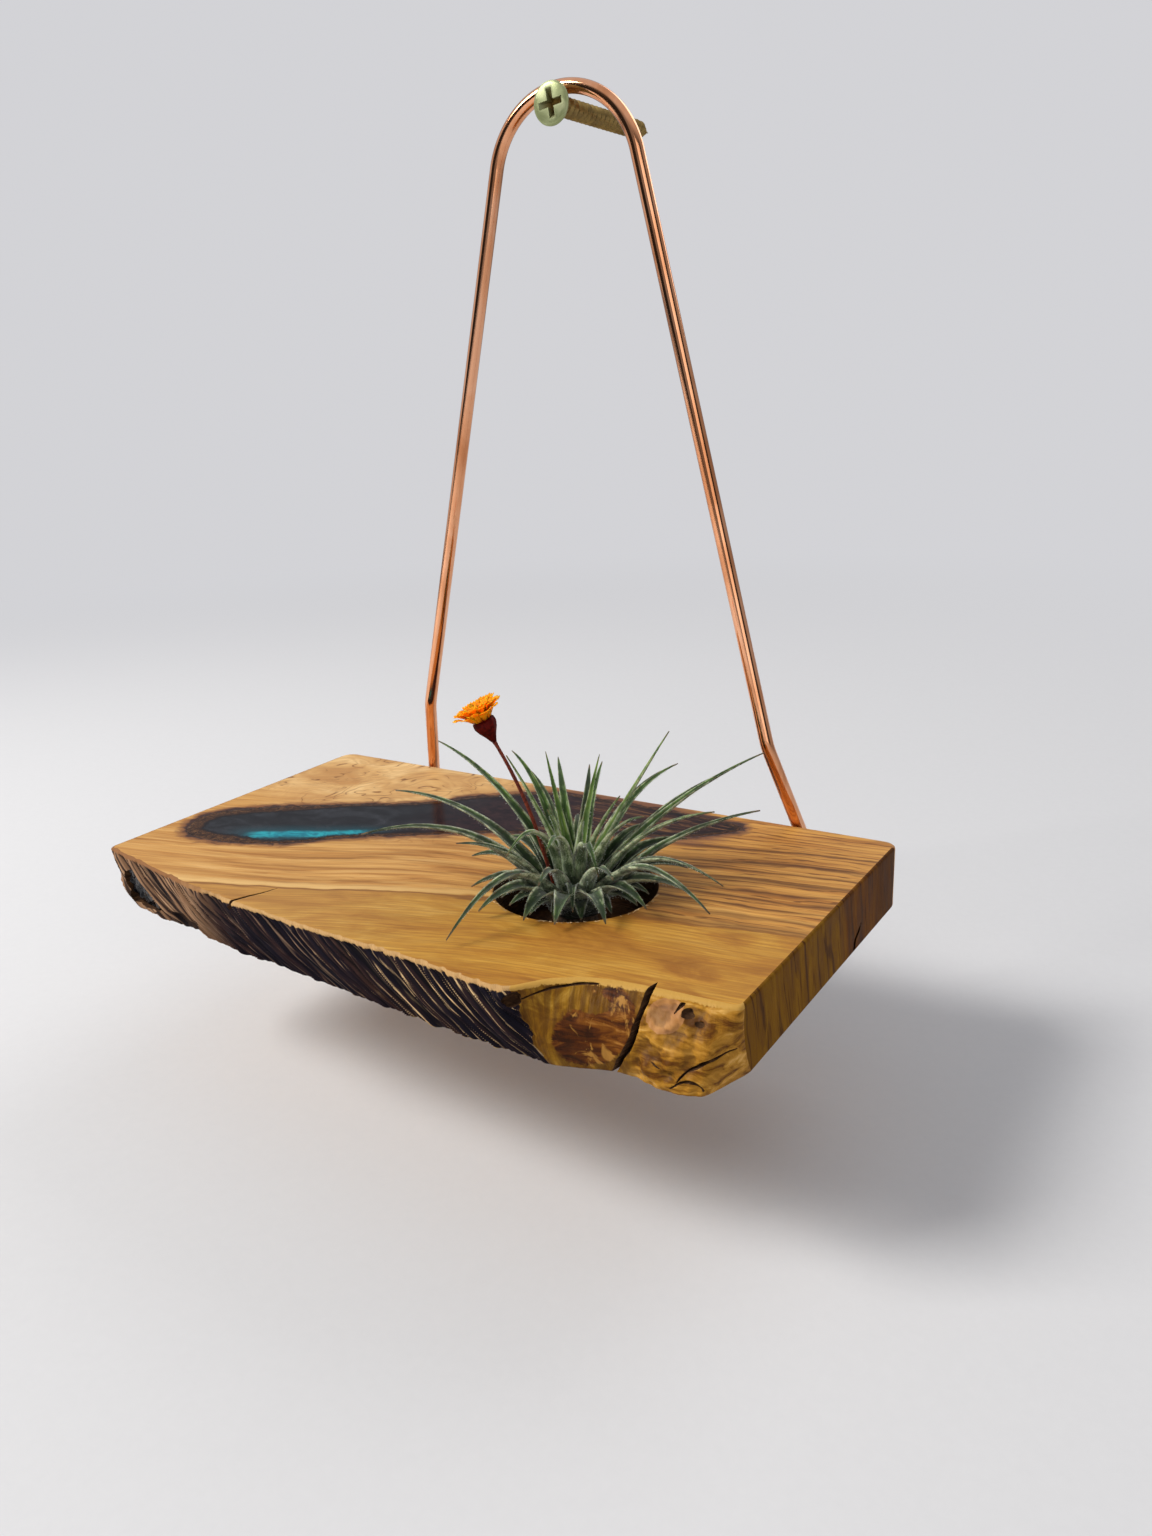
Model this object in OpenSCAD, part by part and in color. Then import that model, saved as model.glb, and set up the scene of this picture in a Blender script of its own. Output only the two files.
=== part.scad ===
// Wall hung air plant holder: a live edge slab on a bent copper rod.
// Origin: the screw's axis at the wall. X runs along the wall, Y into it, Z up.

/* [Slab] */
// Length of the slab along the wall
slab_l = 167; // [150:1:200]
// Depth of the slab at its sawn ends, without the live edge's swell
slab_d = 86; // [80:1:110]
// Thickness of the slab
slab_t = 15; // [13:0.5:20]
// Gap between the wall and the slab's back edge
wall_gap = 5; // [4.5:0.1:8]
// Sanded bevel along the slab's edges
arris = 0.6; // [0.3:0.1:1]
// Round of the two back corners, seen from above
corner_r = 3; // [1.5:0.5:5]
// How far the slab's middle lies to the left of the screw
slab_shift = 2.6; // [0:0.1:6]

/* [Live edge] */
// How far the live edge swells past the sawn ends
swell = 14; // [8:0.5:16]
// Height of the bark's ridges
ridge_h = 0.7; // [0.2:0.1:1]
// Spacing of the bark's ridges along the edge
ridge_pitch = 4.2; // [3:0.1:7]
// How far a ridge runs to the right for each millimetre down
ridge_lean = 1.1; // [0.5:0.1:1.6]
// Width of the dry crack that runs into the top
crack_w = 0.8; // [0.4:0.1:1.2]
// Length of that crack
crack_l = 15; // [8:1:20]

/* [Plant well] */
// Diameter of the drilled well
well_d = 35; // [30:1:38]
// Depth of the well
well_depth = 11; // [8:0.5:12]
// Well's centre, to the right of the slab's middle
well_x = 30.7; // [28:0.1:36]
// Well's centre, in front of the slab's back edge
well_y = 55; // [50:0.5:58]

/* [Resin] */
// Depth of the resin river under the top
river_depth = 4; // [3:0.5:8]

/* [Copper hanger] */
// Diameter of the copper rod
rod_d = 3.2; // [2.4:0.2:3.6]
// Height of the loop's centre line over the slab's top
loop_h = 164.7; // [130:0.1:200]
// Radius of the loop's centre line
loop_r = 19; // [14:0.5:24]
// Distance between the two kinks
kink_w = 100.2; // [84:0.2:110]
// Height of the kinks over the slab's top
kink_h = 20; // [16:1:28]
// Bend radius at a kink
kink_r = 14; // [8:1:20]
// Distance between the two feet in the slab
foot_w = 115; // [106:1:124]
// Depth of the two holes in the slab's back edge
socket_depth = 20; // [12:1:24]
// Distance from the wall to the rod's centre line over the kinks
rod_stand = 9; // [8.5:0.5:9.5]

/* [Screw] */
// Diameter of the screw's shank
screw_d = 4.5; // [3.5:0.5:5]
// Diameter of the screw's neck, outside the wall
neck_d = 3.9; // [3:0.1:4.1]
// Diameter of the countersunk head
head_d = 9; // [8.5:0.5:10]
// How far the screw stands out of the wall
screw_out = 14; // [13.5:0.5:18]
// Length of the screw inside the wall
screw_in = 30; // [20:1:45]

/* [Air plant] */
// Radius of the woody foot
foot_r = 4.6; // [3.5:0.1:5.5]
// Width of a leaf at its base
leaf_w = 5; // [3.5:0.1:6]
// Thickness of a leaf at its base
leaf_t = 1.1; // [0.8:0.1:1.3]

/* [Flower] */
// Diameter of the flower's stem
stem_d = 0.9; // [0.7:0.1:1.1]
// Width across the open petals
petals_w = 10.5; // [8:0.5:13]
// Height of the flower's cup
cup_h = 5.2; // [4:0.1:6]

/* [Hidden] */
$fn = 48;

// Clearances
seat = 0.1;
wall_clear = 0.15;
socket_clear = 0.05;
end_clear = 0.3;
// The rod's straight runs are this much thinner and end this far inside its bends
draw = 0.02;
draw_in = 0.3;

// Driver recess of the screw: its turn, and how far its cutter stands out of the head
RECESS_TURN = 8;
RECESS_PROUD = 0.1;

// Places that follow from the sizes above
rod_r = rod_d / 2;
apex_z = screw_d / 2 + rod_r + seat;
top_z = apex_z - loop_h;
foot_z = top_z - slab_t / 2;
half_l = slab_l / 2;
well_at = [well_x - slab_shift, -wall_gap - well_y, top_z];

// Edge curves: [share of the half length, share of the swell past the sawn ends]
EDGE_TOP = [[-1, 0], [-0.76, 0.3], [-0.5, 0.57], [-0.1, 0.8], [0.22, 0.87], [0.5, 1], [0.59, 0.48],
    [0.68, 0.2], [0.8, 0.09], [1, 0.02]];
EDGE_LOW = [[-1, -0.42], [-0.95, -0.16], [-0.58, 0.22], [-0.2, 0.44], [0.32, 0.72], [0.6, 0.79],
    [0.77, 0.54], [0.88, 0.66], [0.95, 0.55], [1, -0.2]];
EDGE_BELLY = [[-1, 0.8], [0.45, 1], [0.6, 2.6], [1, 3]];
BARK_END = [0.53, 0.6];
EDGE_COLUMNS = 136;
EDGE_LEVELS = [0, 0.04, 0.14, 0.27, 0.4, 0.52, 0.64, 0.76, 0.87, 0.96, 1];

// Outline of the resin river, from the slab's middle and its back edge
RIVER = [[-74, -70], [-79.5, -59], [-72, -49], [-53, -37], [-35, -27], [-24, -16], [-7, -4.5], [12, -3.5],
    [34, -4], [48, -7], [38, -18], [22, -24], [-7, -37], [-20, -45], [-36, -55], [-46, -64], [-60, -70]];
CURVE_STEPS = 4;

// Black resin in a hollow of the live edge, low at the left: centres of the hollow's lobes from the left end,
// from the live edge and from the slab's underside
LOBES = [[7.6, 1.4, 8.6], [7.8, 1.4, 4.6], [12.4, 1.4, 7.6], [17.2, 1.4, 5.4], [15, 1.4, 4.2], [9.5, 6.5, 6.8],
    [14.5, 6.5, 5.4]];
LOBE_R = 2.9;
// How far the resin's face lies behind the live edge
RESIN_IN = 1.1;

// Dry crack in the top: share of the half length, its turn, and the share of the thickness it cuts
CRACK = [-0.395, 20, 0.45];
// Cleft: share of the half length at its top, how far its foot lies to the left, and its cut seen from above
CLEFT = [0.79, 0.05];
CLEFT_CUT = [[-0.7, -3], [1, -3], [0.35, 2.6], [-0.1, 2.6]];
// Knot hole at the end of the bark and two pits: [share of the half length, share of the thickness, radius]
PITS = [[0.525, 0.1, 1.9], [0.87, 0.16, 1.1], [0.92, 0.22, 0.9]];
PIT_PROUD = 0.2;
// Crack low in the right end: its place in front of the back edge, its depth, and its outline [up, back]
END_CHECK_Y = 27;
END_CHECK_IN = 3.5;
END_CHECK = [[0, -0.7], [4.6, 0.9], [4.4, 1.5], [0, 0.2]];
// Mark of the drill's centre point in the well's floor: depth and radius at the floor
DRILL_POINT = [1.2, 1.2];
// How far a cut stands out of the face it opens
OPEN = 1;

// Leaves: [azimuth, reach, height of the tip, height of the arch], over the slab's top
OUTER = [[260, 37, 1.6, 19], [236, 26, 15, 13], [211, 45, 13.5, 20], [188, 46, 16, 19], [163, 36, 20, 15],
    [138, 31, 17, 14], [112, 30, 18, 13], [88, 33, 17, 14], [60, 36, 19, 13], [30, 39, 17, 12],
    [8, 33, 5, 16], [-14, 38, 5.5, 18], [-38, 24, 11, 13], [-62, 18.5, 2.6, 10], [-80, 21, 9, 13]];
MIDDLE = [[176, 38, 27, 22], [154, 24, 25, 20], [131, 27, 21, 19], [100, 20, 22, 17], [73, 30, 21, 18],
    [45, 42, 26, 17], [17, 30, 19, 16], [-12, 19, 20, 17], [-44, 17, 9, 22], [-76, 16, 14, 21],
    [-105, 18, 12, 24]];
HEART = [[196, 14, 29, 15], [150, 13, 27, 15], [95, 13, 26, 14], [52, 22, 32, 14], [5, 11, 22, 14],
    [-45, 9, 19, 13], [-100, 8, 20, 13]];
// Whorls: [radius of the ring, its low face, its high face, radius where its leaves start, width factor]
OUTER_RING = [6.2, -5.2, -3, 5.4, 1.1];
MIDDLE_RING = [4.4, -3, -0.6, 3.6, 0.9];
HEART_RING = [2.3, -0.6, 1.8, 1.2, 0.7];
LEAF_STEPS = 8;

// Flower: where its stem stands, the way it leans, and its height, from the well's centre
STEM_AZ = 216;
STEM_AT = 4.3;
STEM_LEAN = 14;
STEM_STRAIGHT = 13;
STEM_TOP = [15.5, 33.4];
CUP_LEAN = 24;
PETALS = 13;

// Unit vector of v
function unit(v) = v / norm(v);

// Value at x of a smooth curve through the points p, with no overshoot
function rise(p, i) = (p[i + 1][1] - p[i][1]) / (p[i + 1][0] - p[i][0]);
function slope(p, i) = i == 0 ? rise(p, 0)
    : i == len(p) - 1 ? rise(p, i - 1)
    : rise(p, i - 1) * rise(p, i) <= 0 ? 0
    : 2 * rise(p, i - 1) * rise(p, i) / (rise(p, i - 1) + rise(p, i));
function curve(p, x, i = 0) = i < len(p) - 2 && x > p[i + 1][0] ? curve(p, x, i + 1)
    : let (h = p[i + 1][0] - p[i][0], s = (x - p[i][0]) / h)
        p[i][1] * (1 + 2 * s) * (1 - s) * (1 - s) + p[i + 1][1] * s * s * (3 - 2 * s)
        + h * slope(p, i) * s * (1 - s) * (1 - s) - h * slope(p, i + 1) * s * s * (1 - s);

// Closed smooth curve through the points p
function blend4(a, b, c, d, s) =
    b + 0.5 * s * (c - a + s * (2 * a - 5 * b + 4 * c - d + s * (3 * b - a - 3 * c + d)));
function closed_curve(p, steps) = let (n = len(p))
    [for (i = [0 : n - 1]) for (s = [0 : steps - 1])
        blend4(p[(i + n - 1) % n], p[i], p[(i + 1) % n], p[(i + 2) % n], s / steps)];

// Smooth step from 0 to 1 between a and b
function step(a, b, x) = let (s = min(1, max(0, (x - a) / (b - a)))) s * s * (3 - 2 * s);

// Solid through rings of points, each ring as long as the others
module loft(rings) {
    n = len(rings[0]);
    m = len(rings);
    polyhedron(
        points = [for (r = rings) each r],
        faces = [
            [for (i = [0 : n - 1]) i],
            for (j = [0 : m - 2]) for (i = [0 : n - 1]) let (a = j * n + i, b = j * n + (i + 1) % n)
                each [[a, a + n, b], [b, a + n, b + n]],
            [for (i = [n - 1 : -1 : 0]) (m - 1) * n + i]
        ]);
}

// Live edge: how far it reaches in front of the back edge, at x and at the share t of the thickness
function ridges(x, t) = let (u = 360 * (x - ridge_lean * slab_t * t) / ridge_pitch)
    ridge_h * (0.55 * sin(u) + 0.3 * sin(0.47 * u + 60) + 0.25 * sin(2.3 * u + 10));
function knobs(x, t) = 0.8 * sin(31 * x + 140 * t) * sin(250 * t + 9 * x) + 0.4 * sin(67 * x - 200 * t);
function live_edge(x, t) = let (s = x / half_l, bark = 1 - step(BARK_END[0], BARK_END[1], s - 0.07 * t))
    slab_d + swell * ((1 - t) * curve(EDGE_TOP, s) + t * curve(EDGE_LOW, s))
    + 4 * t * (1 - t) * (curve(EDGE_BELLY, s) + knobs(x, t) * step(0.7, 0.8, s))
    + ridges(x, t) * bark * step(0, 0.2, t) * step(-1, -0.97, s);

// One level of the slab's outline, seen from above, anticlockwise
function slab_ring(t) = let (
        e = t == 0 || t == 1 ? arris : 0,
        w = half_l - e,
        z = -slab_t * t,
        r = corner_r,
        turn = [0, 30, 60, 90])
    concat(
        [for (i = [0 : EDGE_COLUMNS]) let (x = w * (2 * i / EDGE_COLUMNS - 1)) [x, e - live_edge(x, t), z]],
        [for (a = turn) [w - r + r * cos(a), -e - r + r * sin(a), z]],
        [for (a = turn) [-w + r - r * sin(a), -e - r + r * cos(a), z]]);

// The two broad faces are fans of triangles round a hub in the middle
module slab_blank() {
    n = len(slab_ring(0));
    m = len(EDGE_LEVELS);
    polyhedron(
        points = concat([for (t = EDGE_LEVELS) each slab_ring(t)],
            [for (t = [0, 1]) [0, -slab_d / 2, -slab_t * t]]),
        faces = [
            for (i = [0 : n - 1]) let (k = (i + 1) % n)
                each [[n * m, k, i], [n * m + 1, (m - 1) * n + i, (m - 1) * n + k]],
            for (j = [0 : m - 2]) for (i = [0 : n - 1]) let (a = j * n + i, b = j * n + (i + 1) % n)
                each [[a, b, a + n], [b, b + n, a + n]]
        ]);
}

module river_outline() {
    polygon(closed_curve(RIVER, CURVE_STEPS));
}

module corner_lobes() {
    hull()
        for (p = LOBES)
            let (x = p[0] - half_l, t = 1 - p[2] / slab_t)
                translate([x, p[1] - live_edge(x, t), p[2] - slab_t]) sphere(LOBE_R, $fn = 16);
}

// Dry crack in the top, open at the live edge and closed at its tip
module top_crack() {
    x0 = CRACK[0] * half_l;
    translate([x0, -live_edge(x0, 0) - OPEN, -slab_t * CRACK[2]])
        rotate([0, 0, CRACK[1]])
            linear_extrude(slab_t)
                polygon([[-crack_w / 2, 0], [crack_w / 2, 0], [crack_w * 0.15, crack_l],
                    [-crack_w * 0.15, crack_l]]);
}

// Deep cleft that runs down the peeled part of the live edge
module cleft() {
    hull()
        for (t = [-0.1, 1.1])
            let (x = half_l * (CLEFT[0] - CLEFT[1] * t), y = -live_edge(x, min(1, max(0, t))))
                translate([x, y, -slab_t * t]) linear_extrude(0.01) polygon(CLEFT_CUT);
}

// Knot hole at the end of the bark and the two pits beside the cleft
module pits() {
    for (p = PITS)
        translate([half_l * p[0], -live_edge(half_l * p[0], p[1]) - PIT_PROUD, -slab_t * p[1]])
            sphere(p[2], $fn = 24);
}

// Small crack low in the right end
module end_check() {
    translate([half_l + OPEN, -END_CHECK_Y, -slab_t - arris])
        rotate([0, -90, 0])
            linear_extrude(END_CHECK_IN + OPEN) polygon(END_CHECK);
}

// Places its children in the slab's own frame: middle of the back edge, on the top
module on_slab() {
    translate([-slab_shift, -wall_gap, top_z]) children();
}

// Cone that the drill's centre point leaves under the well's floor
module drill_point() {
    translate([0, 0, -DRILL_POINT[0]])
        cylinder(h = 2 * DRILL_POINT[0], r1 = 0, r2 = 2 * DRILL_POINT[1]);
}

module slab() {
    color([0.78, 0.56, 0.27])
        on_slab()
            difference() {
                slab_blank();
                translate([well_x, -well_y, -well_depth]) {
                    cylinder(h = well_depth + OPEN, d = well_d);
                    drill_point();
                }
                translate([0, 0, -river_depth]) linear_extrude(river_depth + OPEN) river_outline();
                for (side = [-1, 1])
                    translate([slab_shift + side * foot_w / 2, OPEN, -slab_t / 2])
                        rotate([90, 0, 0]) cylinder(h = socket_depth + OPEN, r = rod_r + socket_clear);
                corner_lobes();
                top_crack();
                cleft();
                pits();
                end_check();
            }
}

module river_resin() {
    color([0.1, 0.32, 0.38])
        on_slab() translate([0, 0, -river_depth]) linear_extrude(river_depth) river_outline();
}

module corner_resin() {
    color([0.05, 0.05, 0.06])
        on_slab()
            intersection() {
                corner_lobes();
                translate([0, RESIN_IN, 0]) slab_blank();
            }
}

// Matrix that moves a child's axes to u, v and w, and its origin to c
function place(u, v, w, c) = [[u[0], v[0], w[0], c[0]], [u[1], v[1], w[1], c[1]], [u[2], v[2], w[2], c[2]],
    [0, 0, 0, 1]];

// Round bar from a to b, longer by in_a and in_b at its ends
module bar(a, b, r, in_a, in_b) {
    w = unit(b - a);
    u = unit(cross(abs(w[2]) < 0.9 ? [0, 0, 1] : [1, 0, 0], w));
    v = cross(w, u);
    multmatrix(place(u, v, w, a - in_a * w))
        cylinder(h = norm(b - a) + in_a + in_b, r = r);
}

// Rod bent at each inner point of p to the centre line radius in bends
function bend_turn(p, i) = let (a = unit(p[i - 1] - p[i]), b = unit(p[i + 1] - p[i])) 180 - acos(a * b);
function bend_tangent(p, bends, i) = bends[i] * tan(bend_turn(p, i) / 2);
module bent_rod(p, bends, r) {
    last = len(p) - 1;
    for (i = [0 : last - 1]) {
        w = unit(p[i + 1] - p[i]);
        bar(p[i] + w * (i == 0 ? 0 : bend_tangent(p, bends, i)),
            p[i + 1] - w * (i == last - 1 ? 0 : bend_tangent(p, bends, i + 1)),
            r - draw, i == 0 ? 0 : draw_in, i == last - 1 ? 0 : draw_in);
    }
    for (i = [1 : last - 1]) {
        a = unit(p[i - 1] - p[i]);
        b = unit(p[i + 1] - p[i]);
        c = p[i] + unit(a + b) * bends[i] / cos(bend_turn(p, i) / 2);
        u = unit(p[i] + a * bend_tangent(p, bends, i) - c);
        w = unit(cross(b, a));
        v = cross(w, u);
        multmatrix(place(u, v, w, c))
            rotate_extrude(angle = bend_turn(p, i)) translate([bends[i], 0]) circle(r);
    }
}

// The heel bends from the leaning leg into the slab's back edge and just clears the wall
heel_r = wall_gap - rod_r - wall_clear;
function heel_y(y, tries) = let (d = [(foot_w - kink_w) / 2, y + rod_stand, -kink_h - slab_t / 2],
        next = -wall_gap + heel_r * tan(acos(-d[1] / norm(d)) / 2))
    tries == 0 ? next : heel_y(next, tries - 1);

// Legs lean in to meet the loop: lean from upright, and the point where the two legs would cross
loop_z = apex_z - loop_r;
kink_z = top_z + kink_h;
kink_to_loop = norm([kink_w / 2, loop_z - kink_z]);
leg_lean = atan2(kink_w / 2, loop_z - kink_z) - asin(loop_r / kink_to_loop);
cross_z = kink_z + kink_w / 2 / tan(leg_lean);

module hanger() {
    heel = heel_y(0, 6);
    side = [[foot_w / 2, -wall_gap - socket_depth + end_clear, foot_z], [foot_w / 2, heel, foot_z],
        [kink_w / 2, -rod_stand, kink_z]];
    left = [for (q = side) [-q[0], q[1], q[2]]];
    color([0.8, 0.45, 0.28])
        bent_rod(
            concat(left, [[0, -rod_stand, cross_z]], [side[2], side[1], side[0]]),
            [0, heel_r, kink_r, loop_r, kink_r, heel_r, 0], rod_r);
}

module wall_screw() {
    rim = 0.5;
    point = 5;
    tip_d = 0.4;
    head_h = (head_d - neck_d) / 2 + rim;
    color([0.62, 0.6, 0.36])
        translate([0, -screw_out, 0])
            rotate([-90, 0, 0])
                difference() {
                    union() {
                        cylinder(h = rim, d1 = head_d - rim, d2 = head_d);
                        translate([0, 0, rim]) cylinder(h = head_h - rim, d1 = head_d, d2 = neck_d);
                        translate([0, 0, head_h]) cylinder(h = screw_out - head_h, d = neck_d);
                        translate([0, 0, screw_out]) cylinder(h = screw_in - point, d = screw_d);
                        translate([0, 0, screw_out + screw_in - point])
                            cylinder(h = point, d1 = screw_d, d2 = tip_d);
                    }
                    cross_recess();
                }
}

// Cross shaped driver recess, tapered to its tip
module cross_recess() {
    wing = head_d * 0.13;
    intersection() {
        translate([0, 0, -RECESS_PROUD]) cylinder(h = head_d * 0.3, d1 = head_d * 0.58, d2 = head_d * 0.2);
        for (a = [RECESS_TURN, RECESS_TURN + 90])
            rotate([0, 0, a]) translate([-head_d / 2, -wing / 2, -head_d / 2]) cube([head_d, wing, head_d]);
    }
}

// Places its children at the well's centre, level with the slab's top
module at_well() {
    translate(well_at) children();
}

// Woody foot of the plant, trimmed flat to stand on the well's floor
module plant_foot() {
    low = -well_depth + end_clear;
    color([0.36, 0.27, 0.18])
        at_well()
            rotate_extrude()
                polygon([[0, low], [foot_r * 0.8, low], [foot_r * 0.95, low + 1], [foot_r, low + 2.6],
                    [foot_r * 0.9, OUTER_RING[1]], [0, OUTER_RING[1]]]);
}

// Point of a leaf's middle line at the share s, as [radius, height], and its direction
function leaf_line(leaf, ring) = [[ring[3], (ring[1] + ring[2]) / 2],
    [max(ring[0] + 2, leaf[1] * 0.42), leaf[3]], [leaf[1], leaf[2]]];
function bow(q, s) = (1 - s) * (1 - s) * q[0] + 2 * s * (1 - s) * q[1] + s * s * q[2];
function bow_way(q, s) = unit((1 - s) * (q[1] - q[0]) + s * (q[2] - q[1]));

// One slice of a leaf: a shallow channel, open to the inside of the rosette
function leaf_slice(leaf, ring, s) = let (
        q = leaf_line(leaf, ring),
        c = bow(q, s),
        d = bow_way(q, s),
        w = leaf_w * ring[4] / 2 * (0.08 + 0.92 * pow(1 - s, 0.75)),
        t = leaf_t * (0.25 + 0.75 * (1 - s)),
        hollow = w * 0.32,
        outline = [[0, 0], [w * 0.55, hollow * 0.3], [w, hollow], [w * 0.5, hollow * 0.3 + t], [0, t],
            [-w * 0.5, hollow * 0.3 + t], [-w, hollow], [-w * 0.55, hollow * 0.3]])
    [for (o = outline) let (r = c[0] - d[1] * o[1], z = c[1] + d[0] * o[1])
        [r * cos(leaf[0]) - o[0] * sin(leaf[0]), r * sin(leaf[0]) + o[0] * cos(leaf[0]), z]];

module leaf(leaf, ring) {
    loft([for (i = [0 : LEAF_STEPS]) leaf_slice(leaf, ring, i / LEAF_STEPS)]);
}

// Short sheath where a leaf clasps the crown
module sheath(leaf, ring) {
    hull()
        rotate([0, 0, leaf[0]])
            for (x = [0, ring[3] - 0.5])
                translate([x, 0, ring[1]]) cylinder(h = ring[2] - ring[1], r = ring[0] - ring[3], $fn = 12);
}

module whorl(leaves, ring) {
    union() {
        translate([0, 0, ring[1]]) cylinder(h = ring[2] - ring[1], r = ring[0], $fn = 32);
        for (l = leaves) {
            leaf(l, ring);
            sheath(l, ring);
        }
    }
}

module outer_leaves() {
    color([0.3, 0.4, 0.28]) at_well() whorl(OUTER, OUTER_RING);
}

module middle_leaves() {
    color([0.38, 0.48, 0.34]) at_well() whorl(MIDDLE, MIDDLE_RING);
}

module heart_leaves() {
    color([0.46, 0.57, 0.38]) at_well() whorl(HEART, HEART_RING);
}

// Flower's middle line in its upright plane: straight where it stands between the leaves, then bowed
stem_low = [STEM_AT, MIDDLE_RING[2] + end_clear];
stem_mid = stem_low + STEM_STRAIGHT * [sin(STEM_LEAN), cos(STEM_LEAN)];
stem_pull = stem_mid + 0.45 * norm(STEM_TOP - stem_mid) * [sin(STEM_LEAN), cos(STEM_LEAN)];
stem_path = concat([stem_low, (stem_low + stem_mid) / 2],
    [for (s = [0 : 0.2 : 1]) bow([stem_mid, stem_pull, STEM_TOP], s)]);

module in_stem_plane() {
    at_well() rotate([0, 0, STEM_AZ]) children();
}

module flower_stem() {
    n = len(stem_path);
    color([0.4, 0.1, 0.06])
        in_stem_plane()
            loft([for (i = [0 : n - 1]) let (
                    d = i == n - 1 ? [sin(CUP_LEAN), cos(CUP_LEAN)]
                        : unit(stem_path[min(i + 1, n - 1)] - stem_path[max(i - 1, 0)]))
                [for (a = [0 : 45 : 315]) let (o = stem_d / 2 * cos(a))
                    [stem_path[i][0] + o * d[1], stem_d / 2 * sin(a), stem_path[i][1] - o * d[0]]]]);
}

module at_cup() {
    in_stem_plane() translate([STEM_TOP[0], 0, STEM_TOP[1]]) rotate([0, CUP_LEAN, 0]) children();
}

// Cone shaped cup of bracts under the petals
module flower_cup() {
    r = petals_w * 0.23;
    color([0.35, 0.07, 0.05])
        at_cup()
            rotate_extrude()
                polygon([[0, 0], [stem_d * 0.6, 0], [r * 0.45, cup_h * 0.3], [r * 0.85, cup_h * 0.6],
                    [r, cup_h], [0, cup_h]]);
}

// Strap shaped petals with a notched end, spread from the rim of the cup
module petal(l, w) {
    polygon([[0, -w * 0.3], [l * 0.6, -w / 2], [l * 0.93, -w / 2], [l * 0.88, -w * 0.2], [l, 0],
        [l * 0.88, w * 0.2], [l * 0.93, w / 2], [l * 0.6, w / 2], [0, w * 0.3]]);
}

module flower_petals() {
    thick = 0.5;
    color([0.98, 0.5, 0.05])
        at_cup()
            translate([0, 0, cup_h]) {
                cylinder(h = 1.2, r1 = petals_w * 0.21, r2 = petals_w * 0.14);
                for (i = [0 : PETALS - 1])
                    rotate([0, -18 - 14 * (i % 2), 360 * i / PETALS])
                        translate([petals_w * 0.08, 0, 0.1])
                            linear_extrude(thick) petal(petals_w * 0.45, petals_w * 0.2);
            }
}

wall_screw();
slab();
river_resin();
corner_resin();
hanger();
plant_foot();
outer_leaves();
middle_leaves();
heart_leaves();
flower_stem();
flower_cup();
flower_petals();
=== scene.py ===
"""Looks of a wall hung air plant holder: a live edge slab on a bent copper rod."""

import math

import bmesh
import bpy
import numpy as np
from mathutils import Matrix, Vector


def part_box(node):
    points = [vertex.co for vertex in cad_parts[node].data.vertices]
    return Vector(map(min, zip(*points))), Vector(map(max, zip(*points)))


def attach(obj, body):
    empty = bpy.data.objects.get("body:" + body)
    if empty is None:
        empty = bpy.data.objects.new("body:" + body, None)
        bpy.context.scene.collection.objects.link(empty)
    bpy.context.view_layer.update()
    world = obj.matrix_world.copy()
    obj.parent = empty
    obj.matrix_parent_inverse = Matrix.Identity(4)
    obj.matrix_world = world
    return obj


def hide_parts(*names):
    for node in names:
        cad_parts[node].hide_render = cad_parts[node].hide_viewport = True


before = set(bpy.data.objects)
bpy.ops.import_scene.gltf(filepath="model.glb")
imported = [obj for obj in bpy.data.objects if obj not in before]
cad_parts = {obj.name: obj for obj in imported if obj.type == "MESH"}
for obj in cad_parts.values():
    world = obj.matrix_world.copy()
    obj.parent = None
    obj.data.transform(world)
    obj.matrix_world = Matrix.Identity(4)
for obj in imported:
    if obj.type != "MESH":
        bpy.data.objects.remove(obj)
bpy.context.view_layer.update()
MM = 0.001

# The slab's own frame, in millimetres: middle of the back edge, on the top
slab_lo, slab_hi = (np.array(c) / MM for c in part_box("slab"))
SLAB_AT = np.array([(slab_lo[0] + slab_hi[0]) / 2, slab_hi[1], slab_hi[2]])
HALF_L = (slab_hi[0] - slab_lo[0]) / 2
SLAB_T = slab_hi[2] - slab_lo[2]
SLAB_D = 86.0
SWELL = 14.0
ARRIS = 0.6
CORNER_R = 3.0
WELL_R = 17.5
WELL_DEPTH = 11.0
foot_lo, foot_hi = (np.array(c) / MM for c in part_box("plant_foot"))
WELL_AT = np.array([(foot_lo[0] + foot_hi[0]) / 2, (foot_lo[1] + foot_hi[1]) / 2, slab_hi[2]])
WELL = WELL_AT - SLAB_AT

# Live edge: [share of the half length, share of the swell past the sawn ends]
EDGE_TOP = [[-1, 0], [-0.76, 0.3], [-0.5, 0.57], [-0.1, 0.8], [0.22, 0.87], [0.5, 1], [0.59, 0.48],
            [0.68, 0.2], [0.8, 0.09], [1, 0.02]]
EDGE_LOW = [[-1, -0.42], [-0.95, -0.16], [-0.58, 0.22], [-0.2, 0.44], [0.32, 0.72], [0.6, 0.79],
            [0.77, 0.54], [0.88, 0.66], [0.95, 0.55], [1, -0.2]]
EDGE_BELLY = [[-1, 0.8], [0.45, 1], [0.6, 2.6], [0.88, 2.8], [1, 1.4]]
RIDGE_LEAN = 1.1
# Where the bark ends, seen from the front: [x, height under the top]
BARK_END = [[44.0, 0.0], [46.0, 5.0], [48.0, 10.0], [50.5, 15.0]]
# Line between heartwood and sapwood on the top: [x, y]
HEART_LINE = [[-84, -99], [-56, -93], [-30, -86], [-9, -77], [3, -72.5], [15, -69], [30, -64],
              [47, -60.5], [60, -59], [70, -58], [84, -56]]


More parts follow.
